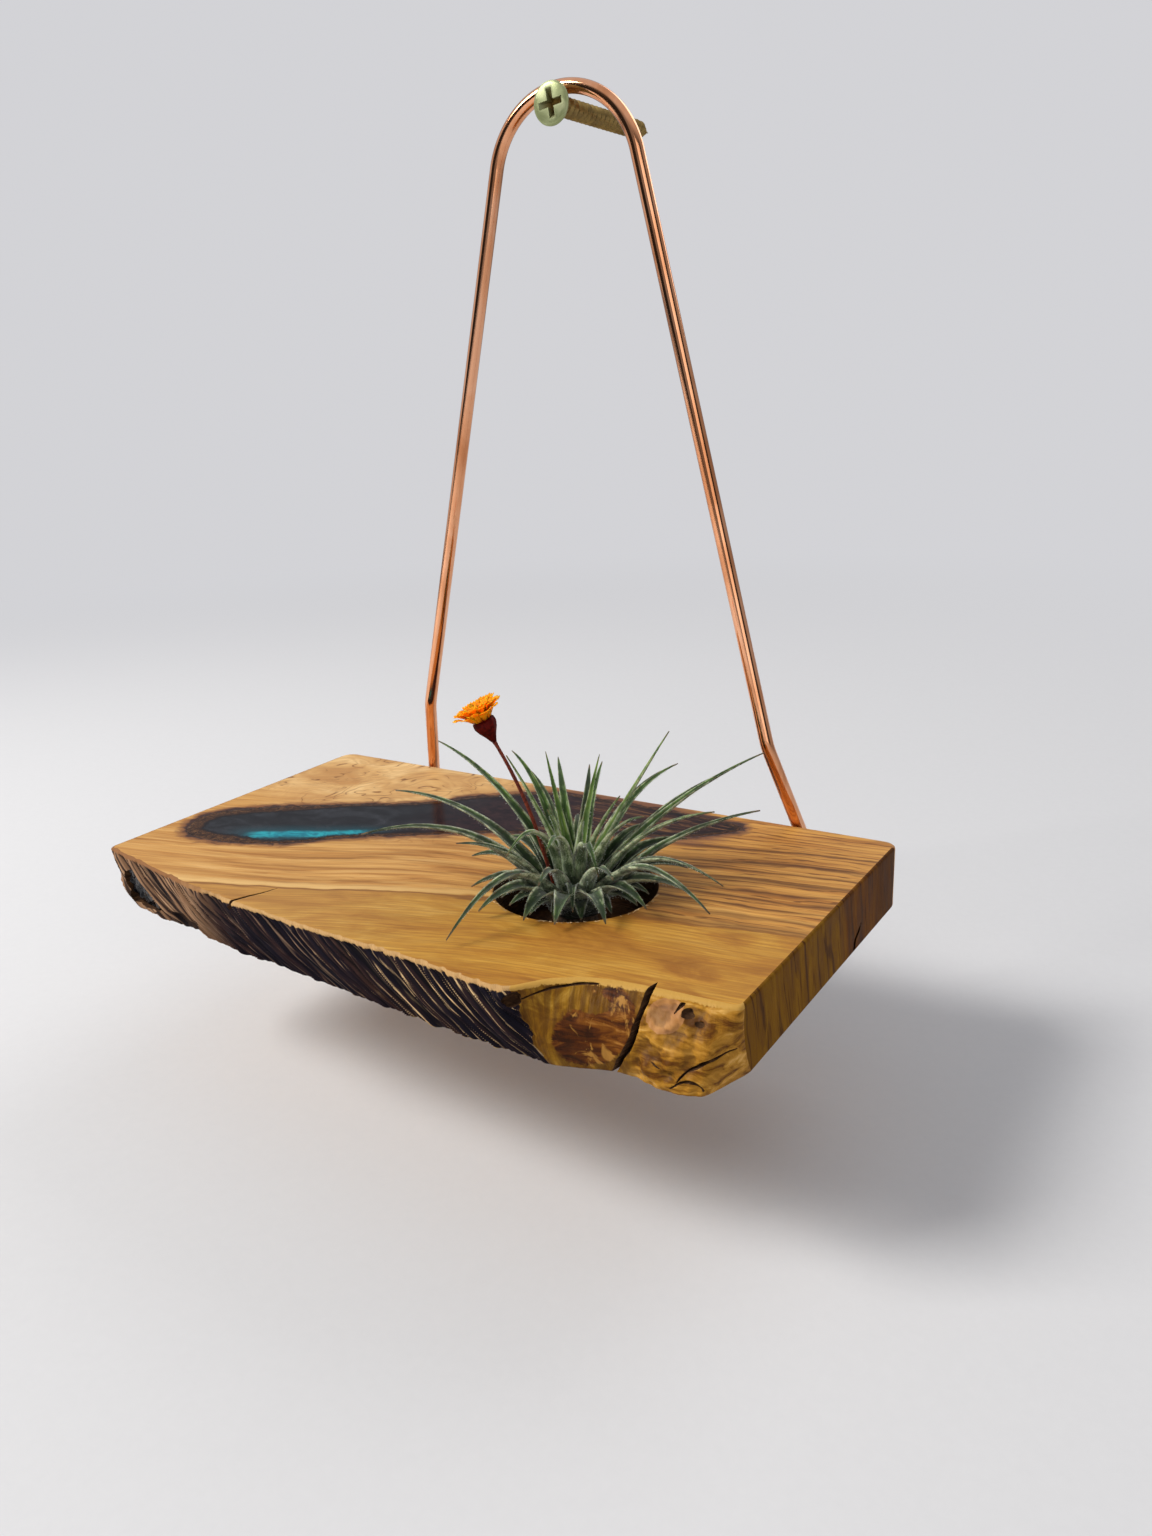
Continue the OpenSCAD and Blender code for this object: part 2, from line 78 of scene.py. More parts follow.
def smooth(a, b, x):
    """Smooth step from 0 to 1 between a and b."""
    s = np.clip((x - a) / (b - a), 0, 1)
    return s * s * (3 - 2 * s)


def curve(points, x):
    """A smooth curve with no overshoot through the points, at every x."""
    p = np.array(points, float)
    x = np.clip(x, p[0, 0], p[-1, 0])
    rise = np.diff(p[:, 1]) / np.diff(p[:, 0])
    slope = np.concatenate([rise[:1], np.zeros(len(p) - 2), rise[-1:]])
    same = rise[:-1] * rise[1:] > 0
    slope[1:-1][same] = 2 * (rise[:-1] * rise[1:])[same] / (rise[:-1] + rise[1:])[same]
    i = np.clip(np.searchsorted(p[:, 0], x) - 1, 0, len(p) - 2)
    h = p[i + 1, 0] - p[i, 0]
    s = (x - p[i, 0]) / h
    return (p[i, 1] * (1 + 2 * s) * (1 - s) ** 2 + p[i + 1, 1] * s * s * (3 - 2 * s)
            + h * slope[i] * s * (1 - s) ** 2 - h * slope[i + 1] * s * s * (1 - s))


def lattice(i, j, k, seed):
    """A fixed value from -1 to 1 for each whole number point."""
    h = (i * 374761393 + j * 668265263 + k * 1442695041 + seed * 1274126177) & 0xFFFFFFFF
    h = ((h ^ (h >> 13)) * 1274126177) & 0xFFFFFFFF
    return ((h ^ (h >> 16)) & 0xFFFFFF) / 0x7FFFFF - 1


def noise(x, y, z=0.0, seed=0):
    """Smooth noise from -1 to 1."""
    p = np.stack(np.broadcast_arrays(x, y, z)).astype(float)
    c = np.floor(p).astype(np.int64)
    f = p - c
    f = f * f * (3 - 2 * f)
    total = 0
    for corner in range(8):
        d = np.array([corner & 1, corner >> 1 & 1, corner >> 2 & 1])
        weight = 1.0
        for axis in range(3):
            weight = weight * (f[axis] if d[axis] else 1 - f[axis])
        total = total + weight * lattice(c[0] + d[0], c[1] + d[1], c[2] + d[2], seed)
    return total


def rough(x, y, z=0.0, seed=0, octaves=4):
    """Noise with finer and finer detail."""
    return sum(noise(x * 2 ** o, y * 2 ** o, z * 2 ** o, seed + o) / 2 ** o for o in range(octaves))


class Value:
    """What one node gives, with arithmetic that adds more nodes to its graph."""

    def __init__(self, graph, socket):
        self.graph, self.socket = graph, socket

    def __add__(self, other):
        return self.graph.math("ADD", self, other)

    def __sub__(self, other):
        return self.graph.math("SUBTRACT", self, other)

    def __mul__(self, other):
        return self.graph.math("MULTIPLY", self, other)

    def __truediv__(self, other):
        return self.graph.math("DIVIDE", self, other)

    def __abs__(self):
        return self.graph.math("ABSOLUTE", self)

    def spread(self, low, high, to_low=0.0, to_high=1.0):
        """A smooth step from to_low to to_high while the value goes from low to high."""
        limits = {"From Min": low, "From Max": high, "To Min": to_low, "To Max": to_high}
        return self.graph.value("ShaderNodeMapRange", 0, {"interpolation_type": "SMOOTHSTEP"}, Value=self,
                                **limits)

    def ramp(self, stops):
        """A colour for the value, between stops of [place, colour] or [place, grey]."""
        node = self.graph.node("ShaderNodeValToRGB", Fac=self)
        marks = node.color_ramp.elements
        for i, (place, colour) in enumerate(stops):
            mark = marks[i] if i < 2 else marks.new(place)
            mark.position = place
            mark.color = (*(colour if hasattr(colour, "__len__") else [colour] * 3), 1)
        return Value(self.graph, node.outputs["Color"])

    def axes(self):
        split = self.graph.node("ShaderNodeSeparateXYZ", Vector=self)
        return [Value(self.graph, o) for o in split.outputs[:3]]

    def stretched(self, scale, shift=(0, 0, 0)):
        return self.graph.value("ShaderNodeMapping", 0, Vector=self, Scale=scale, Location=shift)

    def texture(self, kind, output, scale, shift=(0, 0, 0), **inputs):
        """A texture over this place, with one scale, or with one for each axis."""
        place = self
        if isinstance(scale, tuple):
            place, scale = self.stretched(scale, shift), 1
        return self.graph.value(kind, output, Vector=place, Scale=scale, **inputs)

    def noise(self, scale, detail=4.0, roughness=0.5, distortion=0.0, shift=(0, 0, 0)):
        return self.texture("ShaderNodeTexNoise", "Fac", scale, shift, Detail=detail, Roughness=roughness,
                            Distortion=distortion)

    def cells(self, scale):
        return self.texture("ShaderNodeTexVoronoi", "Distance", scale)


class Graph:
    """The nodes of one material, or of the world."""

    def __init__(self, name, owner=None):
        self.material = owner or bpy.data.materials.new(name)
        self.material.use_nodes = True
        self.tree = self.material.node_tree
        self.tree.nodes.clear()

    def put(self, node, socket, value):
        """Links or sets one input of a node, found by its name or its number."""
        if isinstance(value, Value):
            value = value.socket
        if isinstance(value, bpy.types.NodeSocket):
            self.tree.links.new(value, node.inputs[socket])
        elif value is not None:
            target = node.inputs[socket]
            if target.type == "RGBA" and len(value) == 3:
                value = (*value, 1)
            target.default_value = value

    def node(self, kind, settings=None, **inputs):
        node = self.tree.nodes.new(kind)
        for key, value in (settings or {}).items():
            setattr(node, key, value)
        for key, value in inputs.items():
            self.put(node, key, value)
        return node

    def value(self, kind, output, settings=None, **inputs):
        return Value(self, self.node(kind, settings, **inputs).outputs[output])

    def math(self, operation, a, b=None, clamp=False):
        node = self.node("ShaderNodeMath", {"operation": operation, "use_clamp": clamp})
        self.put(node, 0, a)
        self.put(node, 1, b)
        return Value(self, node.outputs[0])

    def mix(self, share, a, b, how="MIX"):
        """The colour a, with a share of the colour b over it."""
        node = self.node("ShaderNodeMix", {"data_type": "RGBA", "blend_type": how})
        for socket, value in ((0, share), (6, a), (7, b)):
            self.put(node, socket, value)
        return Value(self, node.outputs[2])

    def attribute(self, name, output="Color"):
        return self.value("ShaderNodeAttribute", output, {"attribute_name": name})

    def parts(self, name):
        """The three numbers that a colour attribute holds."""
        split = self.node("ShaderNodeSeparateColor", Color=self.attribute(name))
        return [Value(self, o) for o in split.outputs[:3]]

    def millimetres(self):
        """The piece's own coordinates, in millimetres."""
        return self.value("ShaderNodeTexCoord", "Object").stretched((1000, 1000, 1000))

    def bump(self, height, distance, strength=1.0):
        """Relief of the surface, distance millimetres high."""
        return self.value("ShaderNodeBump", 0, Height=height, Distance=distance * MM, Strength=strength)

    def surface(self, colour, roughness, normal=None, **sockets):
        shader = self.node("ShaderNodeBsdfPrincipled")
        self.put(shader, "Base Color", colour)
        self.put(shader, "Roughness", roughness)
        self.put(shader, "Normal", normal)
        for key, value in sockets.items():
            self.put(shader, key.replace("_", " ").title().replace("Ior", "IOR"), value)
        out = self.node("ShaderNodeOutputMaterial")
        self.tree.links.new(shader.outputs[0], out.inputs["Surface"])
        return self.material


def wood_figure(g):
    """Colour and relief of the oiled wood, from the grain's own coordinates."""
    grain = g.attribute("grain", "Vector")
    along, _, burl = g.parts("figure")
    river, purple, stripe = g.parts("marks")
    wobble = grain.noise((0.035, 0.09, 0.09), 3, 0.5)
    ripple = grain.noise((0.11, 0.25, 0.25), 2, 0.5)
    line = grain.axes()[1] + ((wobble - 0.5) * 7.0 + (ripple - 0.5) * 2.0)

    fibre = grain.noise((0.05, 1.6, 1.6), 5, 0.62, 0.3)
    streak = grain.noise((0.025, 0.42, 0.42), 4, 0.6, 0.6)
    cloud = grain.noise((0.05, 0.07, 0.07), 3, 0.5, 0.8)

    heart = streak.ramp([[0.3, (0.34, 0.145, 0.034)], [0.43, (0.48, 0.23, 0.062)],
                         [0.56, (0.61, 0.33, 0.1)], [0.72, (0.7, 0.42, 0.16)]])
    # dark lines: how far behind the heartwood's limit they lie, as shares of 60 mm, and half their width
    stops = [[0.0, 0.9]]
    for d, half in ((0.095, 0.012), (0.185, 0.009), (0.262, 0.014), (0.33, 0.008), (0.415, 0.013),
                    (0.5, 0.01), (0.575, 0.014), (0.7, 0.01)):
        stops += [[d - half * 2.2, 0.0], [d, 1.0], [d + half * 1.4, 0.0]]
    lines = (line / 60.0).ramp(stops) * streak.spread(0.25, 0.6, 1.0, 0.55)
    heart = g.mix(lines * stripe, heart, (0.075, 0.026, 0.007))
    comb = g.math("SINE", line * 3.1 + streak * 9.0)
    comb = comb.spread(0.55, 1.0) * streak.spread(0.6, 0.42, 0.25, 0.85)
    heart = g.mix(comb * stripe, heart, (0.14, 0.052, 0.012))

    loops = grain.noise((0.05, 0.05, 0.05), 2, 0.45, 1.6)
    ring = g.math("SINE", loops * 62.0)
    thin = ring.spread(0.86, 1.0)
    soft = ring.spread(-1.0, 1.0, 0.0, 0.35)
    swirl = cloud.ramp([[0.35, (0.5, 0.26, 0.09)], [0.5, (0.68, 0.41, 0.16)], [0.65, (0.82, 0.56, 0.26)]])
    swirl = g.mix(soft, swirl, (0.5, 0.26, 0.09))
    fade = grain.noise((0.09, 0.09, 0.09), 2, shift=(7, 3, 0)).spread(0.42, 0.62)
    swirl = g.mix(thin * fade, swirl, (0.2, 0.085, 0.03))
    heart = g.mix(burl, heart, swirl)

    blot = grain.noise((0.045, 0.1, 0.1), 4, 0.6, 1.2, (9, 4, 0))
    sap = blot.ramp([[0.3, (0.33, 0.145, 0.028)], [0.45, (0.46, 0.23, 0.045)], [0.58, (0.54, 0.3, 0.06)],
                     [0.72, (0.62, 0.38, 0.1)]])
    sap = g.mix(along.spread(0.75, 0.2, 0.0, 0.5), sap, (0.52, 0.27, 0.085))
    sap = g.mix(fibre.spread(0.35, 0.7, 0.35, 0.0), sap, (0.26, 0.11, 0.024))
    pale = line.spread(0.2, 1.2) * line.spread(4.6, 1.6)
    heart = g.mix(pale * stripe.spread(0.9, 0.2, 0.1, 0.75), heart, (0.76, 0.5, 0.2))
    wood = g.mix(line.spread(-0.3, 0.3), sap, heart)
    seam = line.spread(-1.1, -0.3) * line.spread(0.5, 0.0)
    wood = g.mix(seam * 0.75, wood, (0.2, 0.085, 0.03))
    wood = g.mix(fibre.spread(0.3, 0.75, 0.22, 0.0), wood, (0.2, 0.085, 0.03), "MULTIPLY")

    hairs = grain.noise((0.03, 2.6, 2.6), 4, 0.62, 0.4, (5, 2, 0))
    wood = g.mix(hairs.spread(0.42, 0.3, 0.0, 0.4), wood, (0.22, 0.095, 0.02))
    pores = grain.cells((0.16, 1.5, 1.5))
    wood = g.mix(pores.spread(0.13, 0.05, 0.0, 0.3), wood, (0.2, 0.09, 0.03))

    # painted light: the right half of the wood is warmed, against the cool light that falls on that side
    wood = g.mix(along.spread(0.35, 0.85), wood, g.mix(1.0, wood, (0.99, 0.9, 0.62), "MULTIPLY"))

    speck = grain.noise((0.16, 0.35, 0.35), 4, 0.6, 1.0, (3, 9, 0))
    stain = purple * speck.spread(0.38, 0.55, 0.35, 1.0)
    wood = g.mix(stain, wood, g.mix(speck, (0.09, 0.03, 0.03), (0.16, 0.065, 0.045)))

    edge = river + (speck - 0.5) * 0.55
    singed = g.mix(fibre, (0.1, 0.036, 0.016), (0.24, 0.1, 0.04))
    wood = g.mix(edge.spread(0.34, 0.12, 0.0, 0.9), wood, singed)
    wood = g.mix(edge.spread(0.13, 0.05, 0.0, 0.92), wood, (0.03, 0.013, 0.013))
    relief = fibre * 0.6 + streak * 0.4
    return wood, relief, fibre


def wood_material():
    g = Graph("olive_wood")
    colour, relief, fibre = wood_figure(g)
    return g.surface(colour, fibre.spread(0.3, 0.7, 0.42, 0.56), g.bump(relief, 0.05, 0.5),
                     Specular_IOR_Level=0.2)


def end_material():
    """Sawn end grain: browner and darker than the top, with upright streaks; its darkness is partly real and
    partly painted shade.
    """
    g = Graph("olive_wood_end")
    colour, relief, _ = wood_figure(g)
    place = g.millimetres()
    tilt = g.value("ShaderNodeVectorRotate", 0, {"rotation_type": "X_AXIS"}, Vector=place,
                   Angle=math.radians(-12))
    upright = tilt.noise((0.2, 0.3, 0.045), 4, 0.6, 0.7)
    wide = tilt.noise((0.1, 0.075, 0.02), 3, 0.5, 0.5, (4, 1, 0))
    brown = upright.ramp([[0.3, (0.045, 0.012, 0.001)], [0.43, (0.09, 0.027, 0.002)],
                          [0.56, (0.135, 0.045, 0.004)], [0.72, (0.2, 0.078, 0.011)]])
    brown = g.mix(wide.spread(0.5, 0.62, 0.0, 0.55), brown, (0.036, 0.012, 0.006))
    gold = upright.ramp([[0.3, (0.11, 0.04, 0.001)], [0.5, (0.18, 0.08, 0.003)],
                         [0.7, (0.27, 0.135, 0.012)]])
    y = tilt.axes()[1]
    brown = g.mix(y.spread(SLAB_AT[1] - 66, SLAB_AT[1] - 74, 0.0, 0.8), brown, gold)
    thin = tilt.noise((0.2, 1.1, 0.05), 4, 0.62, 0.6, (0, 3, 0))
    brown = g.mix(thin.spread(0.42, 0.32, 0.0, 0.8), brown, (0.04, 0.011, 0.002))
    bend = y + wide * 16.0
    ring = g.math("SINE", bend * 1.42)
    brown = g.mix(ring.spread(0.7, 0.98) * upright.spread(0.56, 0.42, 0.0, 0.7), brown,
                  (0.035, 0.01, 0.003))
    mixed = g.mix(0.04, brown, colour)
    dots = place.cells((2.2, 2.2, 2.2))
    mixed = g.mix(dots.spread(0.25, 0.08, 0.0, 0.35), mixed, (0.05, 0.02, 0.015))
    return g.surface(mixed, upright.spread(0.3, 0.7, 0.42, 0.58), g.bump(relief + upright, 0.06, 0.5),
                     Specular_IOR_Level=0.02)


def edge_material():
    """The live edge: dark ridged bark on the left, bare golden sapwood on the right."""
    g = Graph("live_edge")
    grain = g.attribute("edge_grain", "Vector")
    bark, recess_shade, arris = g.parts("edge_marks")
    amber, knot, right = g.parts("edge_marks_b")
    comb = g.attribute("edge_comb", "Fac")

    band = grain.noise((0.27, 0.03, 0.03), 3, 0.55, 0.25)
    fine = grain.noise((1.15, 0.07, 0.07), 5, 0.65, 0.35)
    hair = grain.noise((2.6, 0.16, 0.16), 4, 0.7, 0.2)
    grit = grain.noise((1.4, 0.9, 0.9), 5, 0.7)
    dark = band.ramp([[0.32, (0.003, 0.003, 0.008)], [0.45, (0.008, 0.005, 0.011)],
                      [0.58, (0.026, 0.012, 0.013)], [0.75, (0.06, 0.028, 0.019)]])
    brown = band.ramp([[0.3, (0.075, 0.036, 0.02)], [0.5, (0.24, 0.13, 0.07)], [0.7, (0.42, 0.25, 0.14)]])
    left = (right + (band - 0.5) * 0.16).spread(0.3, 0.2)
    skin = g.mix(left, dark, brown)
    crest = comb + (hair - 0.5) * 1.6
    crest = g.math("MAXIMUM", crest.spread(0.55, 0.95), fine.spread(0.6, 0.72, 0.0, 0.7))
    ochre = g.mix(right.spread(0.4, 0.7), (0.26, 0.16, 0.1), (0.8, 0.55, 0.27))
    ochre = g.mix(left, ochre, (0.5, 0.32, 0.19))
    amount = crest * (band + right * 0.24).spread(0.44, 0.64, 0.2, 1.0)
    skin = g.mix(amount, skin, ochre)
    # painted shade: the grooves between the bark's ridges go near black
    skin = g.mix(comb.spread(0.2, -0.5, 0.0, 0.85), skin, (0.003, 0.0025, 0.006))
    # painted shade: the bark darkens in the live edge's hollows, splits and pits
    skin = g.mix(recess_shade.spread(0.4, 0.12, 0.0, 0.85), skin, (0.004, 0.003, 0.005))

    lines = grain.noise((0.75, 0.06, 0.06), 4, 0.55, 0.5, (5, 0, 0))
    mottle = grain.noise((0.22, 0.2, 0.2), 4, 0.6, 1.2, (2, 6, 0))
    bare = mottle.ramp([[0.32, (0.1, 0.036, 0.001)], [0.48, (0.18, 0.076, 0.002)],
                        [0.6, (0.27, 0.13, 0.008)], [0.74, (0.4, 0.22, 0.03)]])
    bare = g.mix(lines.spread(0.42, 0.6, 0.6, 0.0), bare, (0.06, 0.02, 0.001))
    fleck = grain.noise((0.55, 0.6, 0.6), 4, 0.6, 0.8, (1, 2, 0))
    flow = grain.noise((0.11, 0.46, 0.46), 5, 0.6, 0.7, (6, 1, 0))
    swept = flow.ramp([[0.38, (0.1, 0.03, 0.001)], [0.47, (0.27, 0.115, 0.008)],
                       [0.58, (0.46, 0.22, 0.026)], [0.7, (0.66, 0.38, 0.1)]])
    past = (right + (fleck - 0.5) * 0.02).spread(0.885, 0.9)
    bare = g.mix(past * 0.9, bare, swept)
    sweep = grain.noise((0.12, 0.5, 0.5), 4, 0.6, 0.9, (6, 1, 0))
    burnt = sweep.ramp([[0.38, (0.022, 0.004, 0.0005)], [0.5, (0.075, 0.017, 0.001)],
                        [0.62, (0.17, 0.052, 0.004)], [0.74, (0.4, 0.18, 0.035)]])
    pale = grain.noise((0.3, 0.2, 0.2), 4, 0.6, 0.8, (9, 4, 0))
    burnt = g.mix(pale.spread(0.56, 0.64, 0.0, 0.75), burnt, (0.46, 0.22, 0.04))
    inside = amber + (fleck - 0.5) * 1.1
    bare = g.mix(inside.spread(0.36, 0.56, 0.0, 0.95), bare, burnt)
    pink = g.mix(fleck, (0.25, 0.09, 0.025), (0.6, 0.3, 0.13))
    spot = knot + (fleck - 0.5) * 0.5
    bare = g.mix(spot.spread(0.45, 0.62, 0.0, 0.7), bare, pink)
    # painted shade: the bare wood darkens in the live edge's hollows, splits and pits
    bare = g.mix(recess_shade.spread(0.22, 0.0, 0.0, 0.8), bare, (0.04, 0.014, 0.003))

    limit = bark + (grit - 0.5) * 0.35
    colour = g.mix(limit.spread(0.44, 0.56), bare, skin)
    fuzz = arris + (grit - 0.5) * 1.5
    rim = g.mix(left, g.mix(hair, (0.3, 0.14, 0.04), (0.66, 0.43, 0.19)), (0.24, 0.11, 0.045))
    rim = g.mix(limit.spread(0.44, 0.56), (0.5, 0.28, 0.06), rim)
    colour = g.mix(fuzz.spread(0.5, 0.8), colour, rim)
    height = fine * 0.7 + grit * 0.5
    normal = g.bump(height, 0.3, 0.6)
    return g.surface(colour, limit.spread(0.44, 0.56, 0.5, 0.78), normal, Specular_IOR_Level=0.12)


def cut_material():
    """Raw drilled and split wood inside the well and the cracks."""
    g = Graph("raw_cut")
    place = g.millimetres()
    rings = place.noise((0.5, 0.5, 2.6), 4, 0.6)
    spots = place.noise(0.9, 5, 0.65)
    colour = rings.ramp([[0.3, (0.02, 0.009, 0.005)], [0.55, (0.06, 0.028, 0.012)],
                         [0.75, (0.14, 0.07, 0.03)]])
    colour = g.mix(spots.spread(0.5, 0.7, 0.0, 0.6), colour, (0.04, 0.02, 0.012))
    return g.surface(colour, 0.85, g.bump(rings + spots, 0.25, 0.8), Specular_IOR_Level=0.1)


def river_material():
    """Smoky casting resin with a painted blue-green sheen on its near side and a fringe of bark along its
    banks.
    """
    g = Graph("blue_resin")
    bank = g.attribute("bank", "Fac")
    place = g.millimetres()
    x, y = place.axes()[:2]
    u = x - SLAB_AT[0]
    v = y - SLAB_AT[1]
    smoke = place.noise((0.09, 0.12, 0.12), 4, 0.6, 1.4)
    swirl = place.noise((0.2, 0.3, 0.3), 3, 0.6, 1.5, (4, 0, 0))
    hair = place.noise(0.75, 5, 0.74, 0.6)
    # the painted sheen's middle, and the way it runs in the slab's frame
    middle, way = (-45.5, -57.2), (0.894, 0.447)
    du = u - middle[0]
    dv = v - middle[1]
    side = du * -way[1] + dv * way[0]
    reach = du * way[0] + dv * way[1]
    side = side + (smoke - 0.5) * 3.5
    painted_sheen = abs(side).spread(3.0, 0.9) * abs(reach).spread(17.0, 11.5)
    painted_sheen_haze = abs(side).spread(7.5, 1.5) * abs(reach).spread(24.0, 12.0)
    colour = smoke.ramp([[0.3, (0.006, 0.006, 0.009)], [0.5, (0.013, 0.014, 0.018)],
                         [0.7, (0.028, 0.03, 0.037)]])
    plum = g.mix(swirl.spread(0.3, 0.7), (0.008, 0.0035, 0.007), (0.03, 0.013, 0.015))
    colour = g.mix(u.spread(-34.0, -12.0), colour, plum)
    strands = place.noise((0.07, 0.55, 0.5), 5, 0.66, 0.9, (2, 0, 0))
    strand = strands.ramp([[0.4, (0.012, 0.005, 0.006)], [0.52, (0.05, 0.02, 0.014)],
                           [0.66, (0.2, 0.095, 0.035)]])
    colour = g.mix(u.spread(-6.0, 14.0, 0.0, 0.85), colour, strand)
    # painted sheen: a teal haze and gleam painted over the resin's near side
    colour = g.mix(painted_sheen_haze * 0.55, colour, (0.012, 0.075, 0.1))
    teal = g.mix(swirl.spread(0.35, 0.65), (0.008, 0.16, 0.22), (0.02, 0.32, 0.38))
    colour = g.mix(painted_sheen, colour, teal)
    ragged = (hair - 0.5) * 3.4 + (swirl - 0.5) * 2.4
    width = u.spread(-62.0, -48.0, 3.6, 1.3)
    inside = bank - width + ragged
    bark = hair.ramp([[0.36, (0.016, 0.006, 0.004)], [0.5, (0.045, 0.019, 0.009)],
                      [0.66, (0.13, 0.06, 0.024)]])
    colour = g.mix(inside.spread(0.55, -0.25), colour, bark)
    shadow = inside.spread(-0.5, 0.25) * inside.spread(1.3, 0.5)
    colour = g.mix(shadow * 0.8, colour, (0.006, 0.004, 0.006))
    return g.surface(colour, 0.16, g.bump(smoke, 0.02, 0.2), Specular_IOR_Level=0.08)


def black_resin_material():
    g = Graph("black_resin")
    place = g.millimetres()
    cloud = place.noise(0.35, 3, 0.6)
    streak = place.noise((0.9, 0.9, 0.9), 3, 0.6, 1.0)
    # painted highlight: grey streaks over the black resin
    colour = g.mix(streak.spread(0.6, 0.7, 0.0, 0.6), (0.003, 0.0035, 0.005), (0.05, 0.055, 0.06))
    return g.surface(colour, cloud.spread(0.3, 0.7, 0.12, 0.3), g.bump(cloud, 0.3, 0.4),
                     Specular_IOR_Level=0.12)


def copper_material():
    """Bright drawn copper with faint brown marks along the rod."""
    g = Graph("copper")
    place = g.millimetres()
    patch = place.noise((0.1, 0.1, 0.035), 4, 0.6, 0.6)
    spot = place.noise(0.8, 5, 0.7)
    colour = patch.ramp([[0.36, (0.62, 0.25, 0.11)], [0.5, (0.8, 0.37, 0.19)], [0.66, (0.9, 0.47, 0.28)]])
    colour = g.mix(spot.spread(0.66, 0.76, 0.0, 0.45), colour, (0.3, 0.1, 0.05))
    return g.surface(colour, patch.spread(0.35, 0.7, 0.13, 0.07), g.bump(patch, 0.02, 0.3), Metallic=1.0)


def screw_material():
    """Yellow passivated steel, greener on the head, browner in the recess and the thread."""
    g = Graph("plated_screw")
    place = g.millimetres()
    inside = g.attribute("shade", "Fac")
    tint = place.noise(0.3, 2, 0.5, 0.4)
    face = tint.ramp([[0.35, (0.24, 0.27, 0.12)], [0.5, (0.29, 0.32, 0.16)], [0.65, (0.35, 0.37, 0.2)]])
    brass = tint.ramp([[0.35, (0.14, 0.075, 0.013)], [0.65, (0.25, 0.15, 0.028)]])
    colour = g.mix(inside, face, brass)
    wear = place.noise(1.2, 3, 0.6)
    return g.surface(colour, tint.spread(0.3, 0.7, 0.3, 0.46), g.bump(wear, 0.005, 0.3), Metallic=0.55)


def leaf_material(name, green, deep, silver):
    """Channelled leaf: deep green inside, silvery scales on the margins and the underside."""
    g = Graph(name)
    length, margin, under = g.parts("leaf")
    place = g.millimetres()
    strip = g.attribute("leaf_uv", "Vector")
    streak = strip.noise((3.4, 0.5, 1), 4, 0.65)
    scales = strip.noise((9, 1.6, 1), 4, 0.7)
    dust = place.noise(3.4, 4, 0.75)
    patch = place.noise(0.35, 3, 0.6)
    colour = g.mix(patch.spread(0.38, 0.66), deep, green)
    colour = g.mix(streak.spread(0.34, 0.52, 0.75, 0.0), colour, deep)
    colour = g.mix(margin.spread(0.7, 0.2, 0.0, 0.75), colour, deep)
    veil = margin.spread(0.6, 1.0, 0.0, 1.0) + under * 0.4
    veil = veil + streak.spread(0.55, 0.66, 0.0, 0.5)
    veil = g.math("MULTIPLY", veil, (dust + scales).spread(0.8, 1.16, 0.12, 1.0), clamp=True)
    veil = veil * length.spread(1.0, 0.55, 0.25, 1.0)
    veil = g.math("MULTIPLY", veil, patch.spread(0.4, 0.58, 0.35, 1.2), clamp=True)
    colour = g.mix(veil, colour, silver)
    tip = length + (patch - 0.5) * 0.12
    colour = g.mix(tip.spread(0.93, 1.0, 0.0, 0.7), colour, (0.13, 0.075, 0.04))
    # painted shade: each leaf darkens towards its foot, where the leaves crowd in the well
    base = length.spread(0.28, 0.05, 0.0, 0.88)
    colour = g.mix(base, colour, (0.016, 0.022, 0.01))
    return g.surface(colour, 0.68, g.bump(scales + dust, 0.08, 0.6), Sheen_Weight=0.2, Sheen_Roughness=0.5,
                     Specular_IOR_Level=0.15, Subsurface_Weight=0.05, Subsurface_Scale=0.0015)


def plain_material(name, dark, light, scale, roughness, relief, **sockets):
    """Two mottled colours with a fine relief."""
    g = Graph(name)
    spots = g.millimetres().noise(scale, 5, 0.65, 0.4)
    return g.surface(g.mix(spots.spread(0.35, 0.65), dark, light), roughness, g.bump(spots, relief, 0.7),
                     **sockets)


def petal_material():
    g = Graph("petal")
    strip = g.attribute("leaf_uv", "Vector")
    length = g.parts("leaf")[0]
    vein = strip.noise((14, 1.2, 1), 3, 0.6)
    colour = g.mix(vein.spread(0.35, 0.65), (0.9, 0.19, 0.001), (1.0, 0.29, 0.002))
    colour = g.mix(length.spread(0.35, 0.0, 0.0, 0.6), colour, (0.45, 0.05, 0.001))
    colour = g.mix(length.spread(0.75, 1.0, 0.0, 0.4), colour, (1.0, 0.33, 0.004))
    return g.surface(colour, 0.6, g.bump(vein, 0.06, 0.6), Subsurface_Weight=0.6, Subsurface_Scale=0.003,
                     Specular_IOR_Level=0.1)


def mesh_object(name, points, faces, materials, indices=None, shade=True):
    """A mesh from points in millimetres."""
    mesh = bpy.data.meshes.new(name)
    mesh.from_pydata((np.asarray(points, float) * MM).tolist(), [], [list(map(int, f)) for f in faces])
    for m in materials:
        mesh.materials.append(m)
    if indices is not None:
        mesh.polygons.foreach_set("material_index", np.asarray(indices, np.int32))
    if shade:
        mesh.shade_smooth()
    mesh.update()
    obj = bpy.data.objects.new(name, mesh)
    bpy.context.scene.collection.objects.link(obj)
    return obj


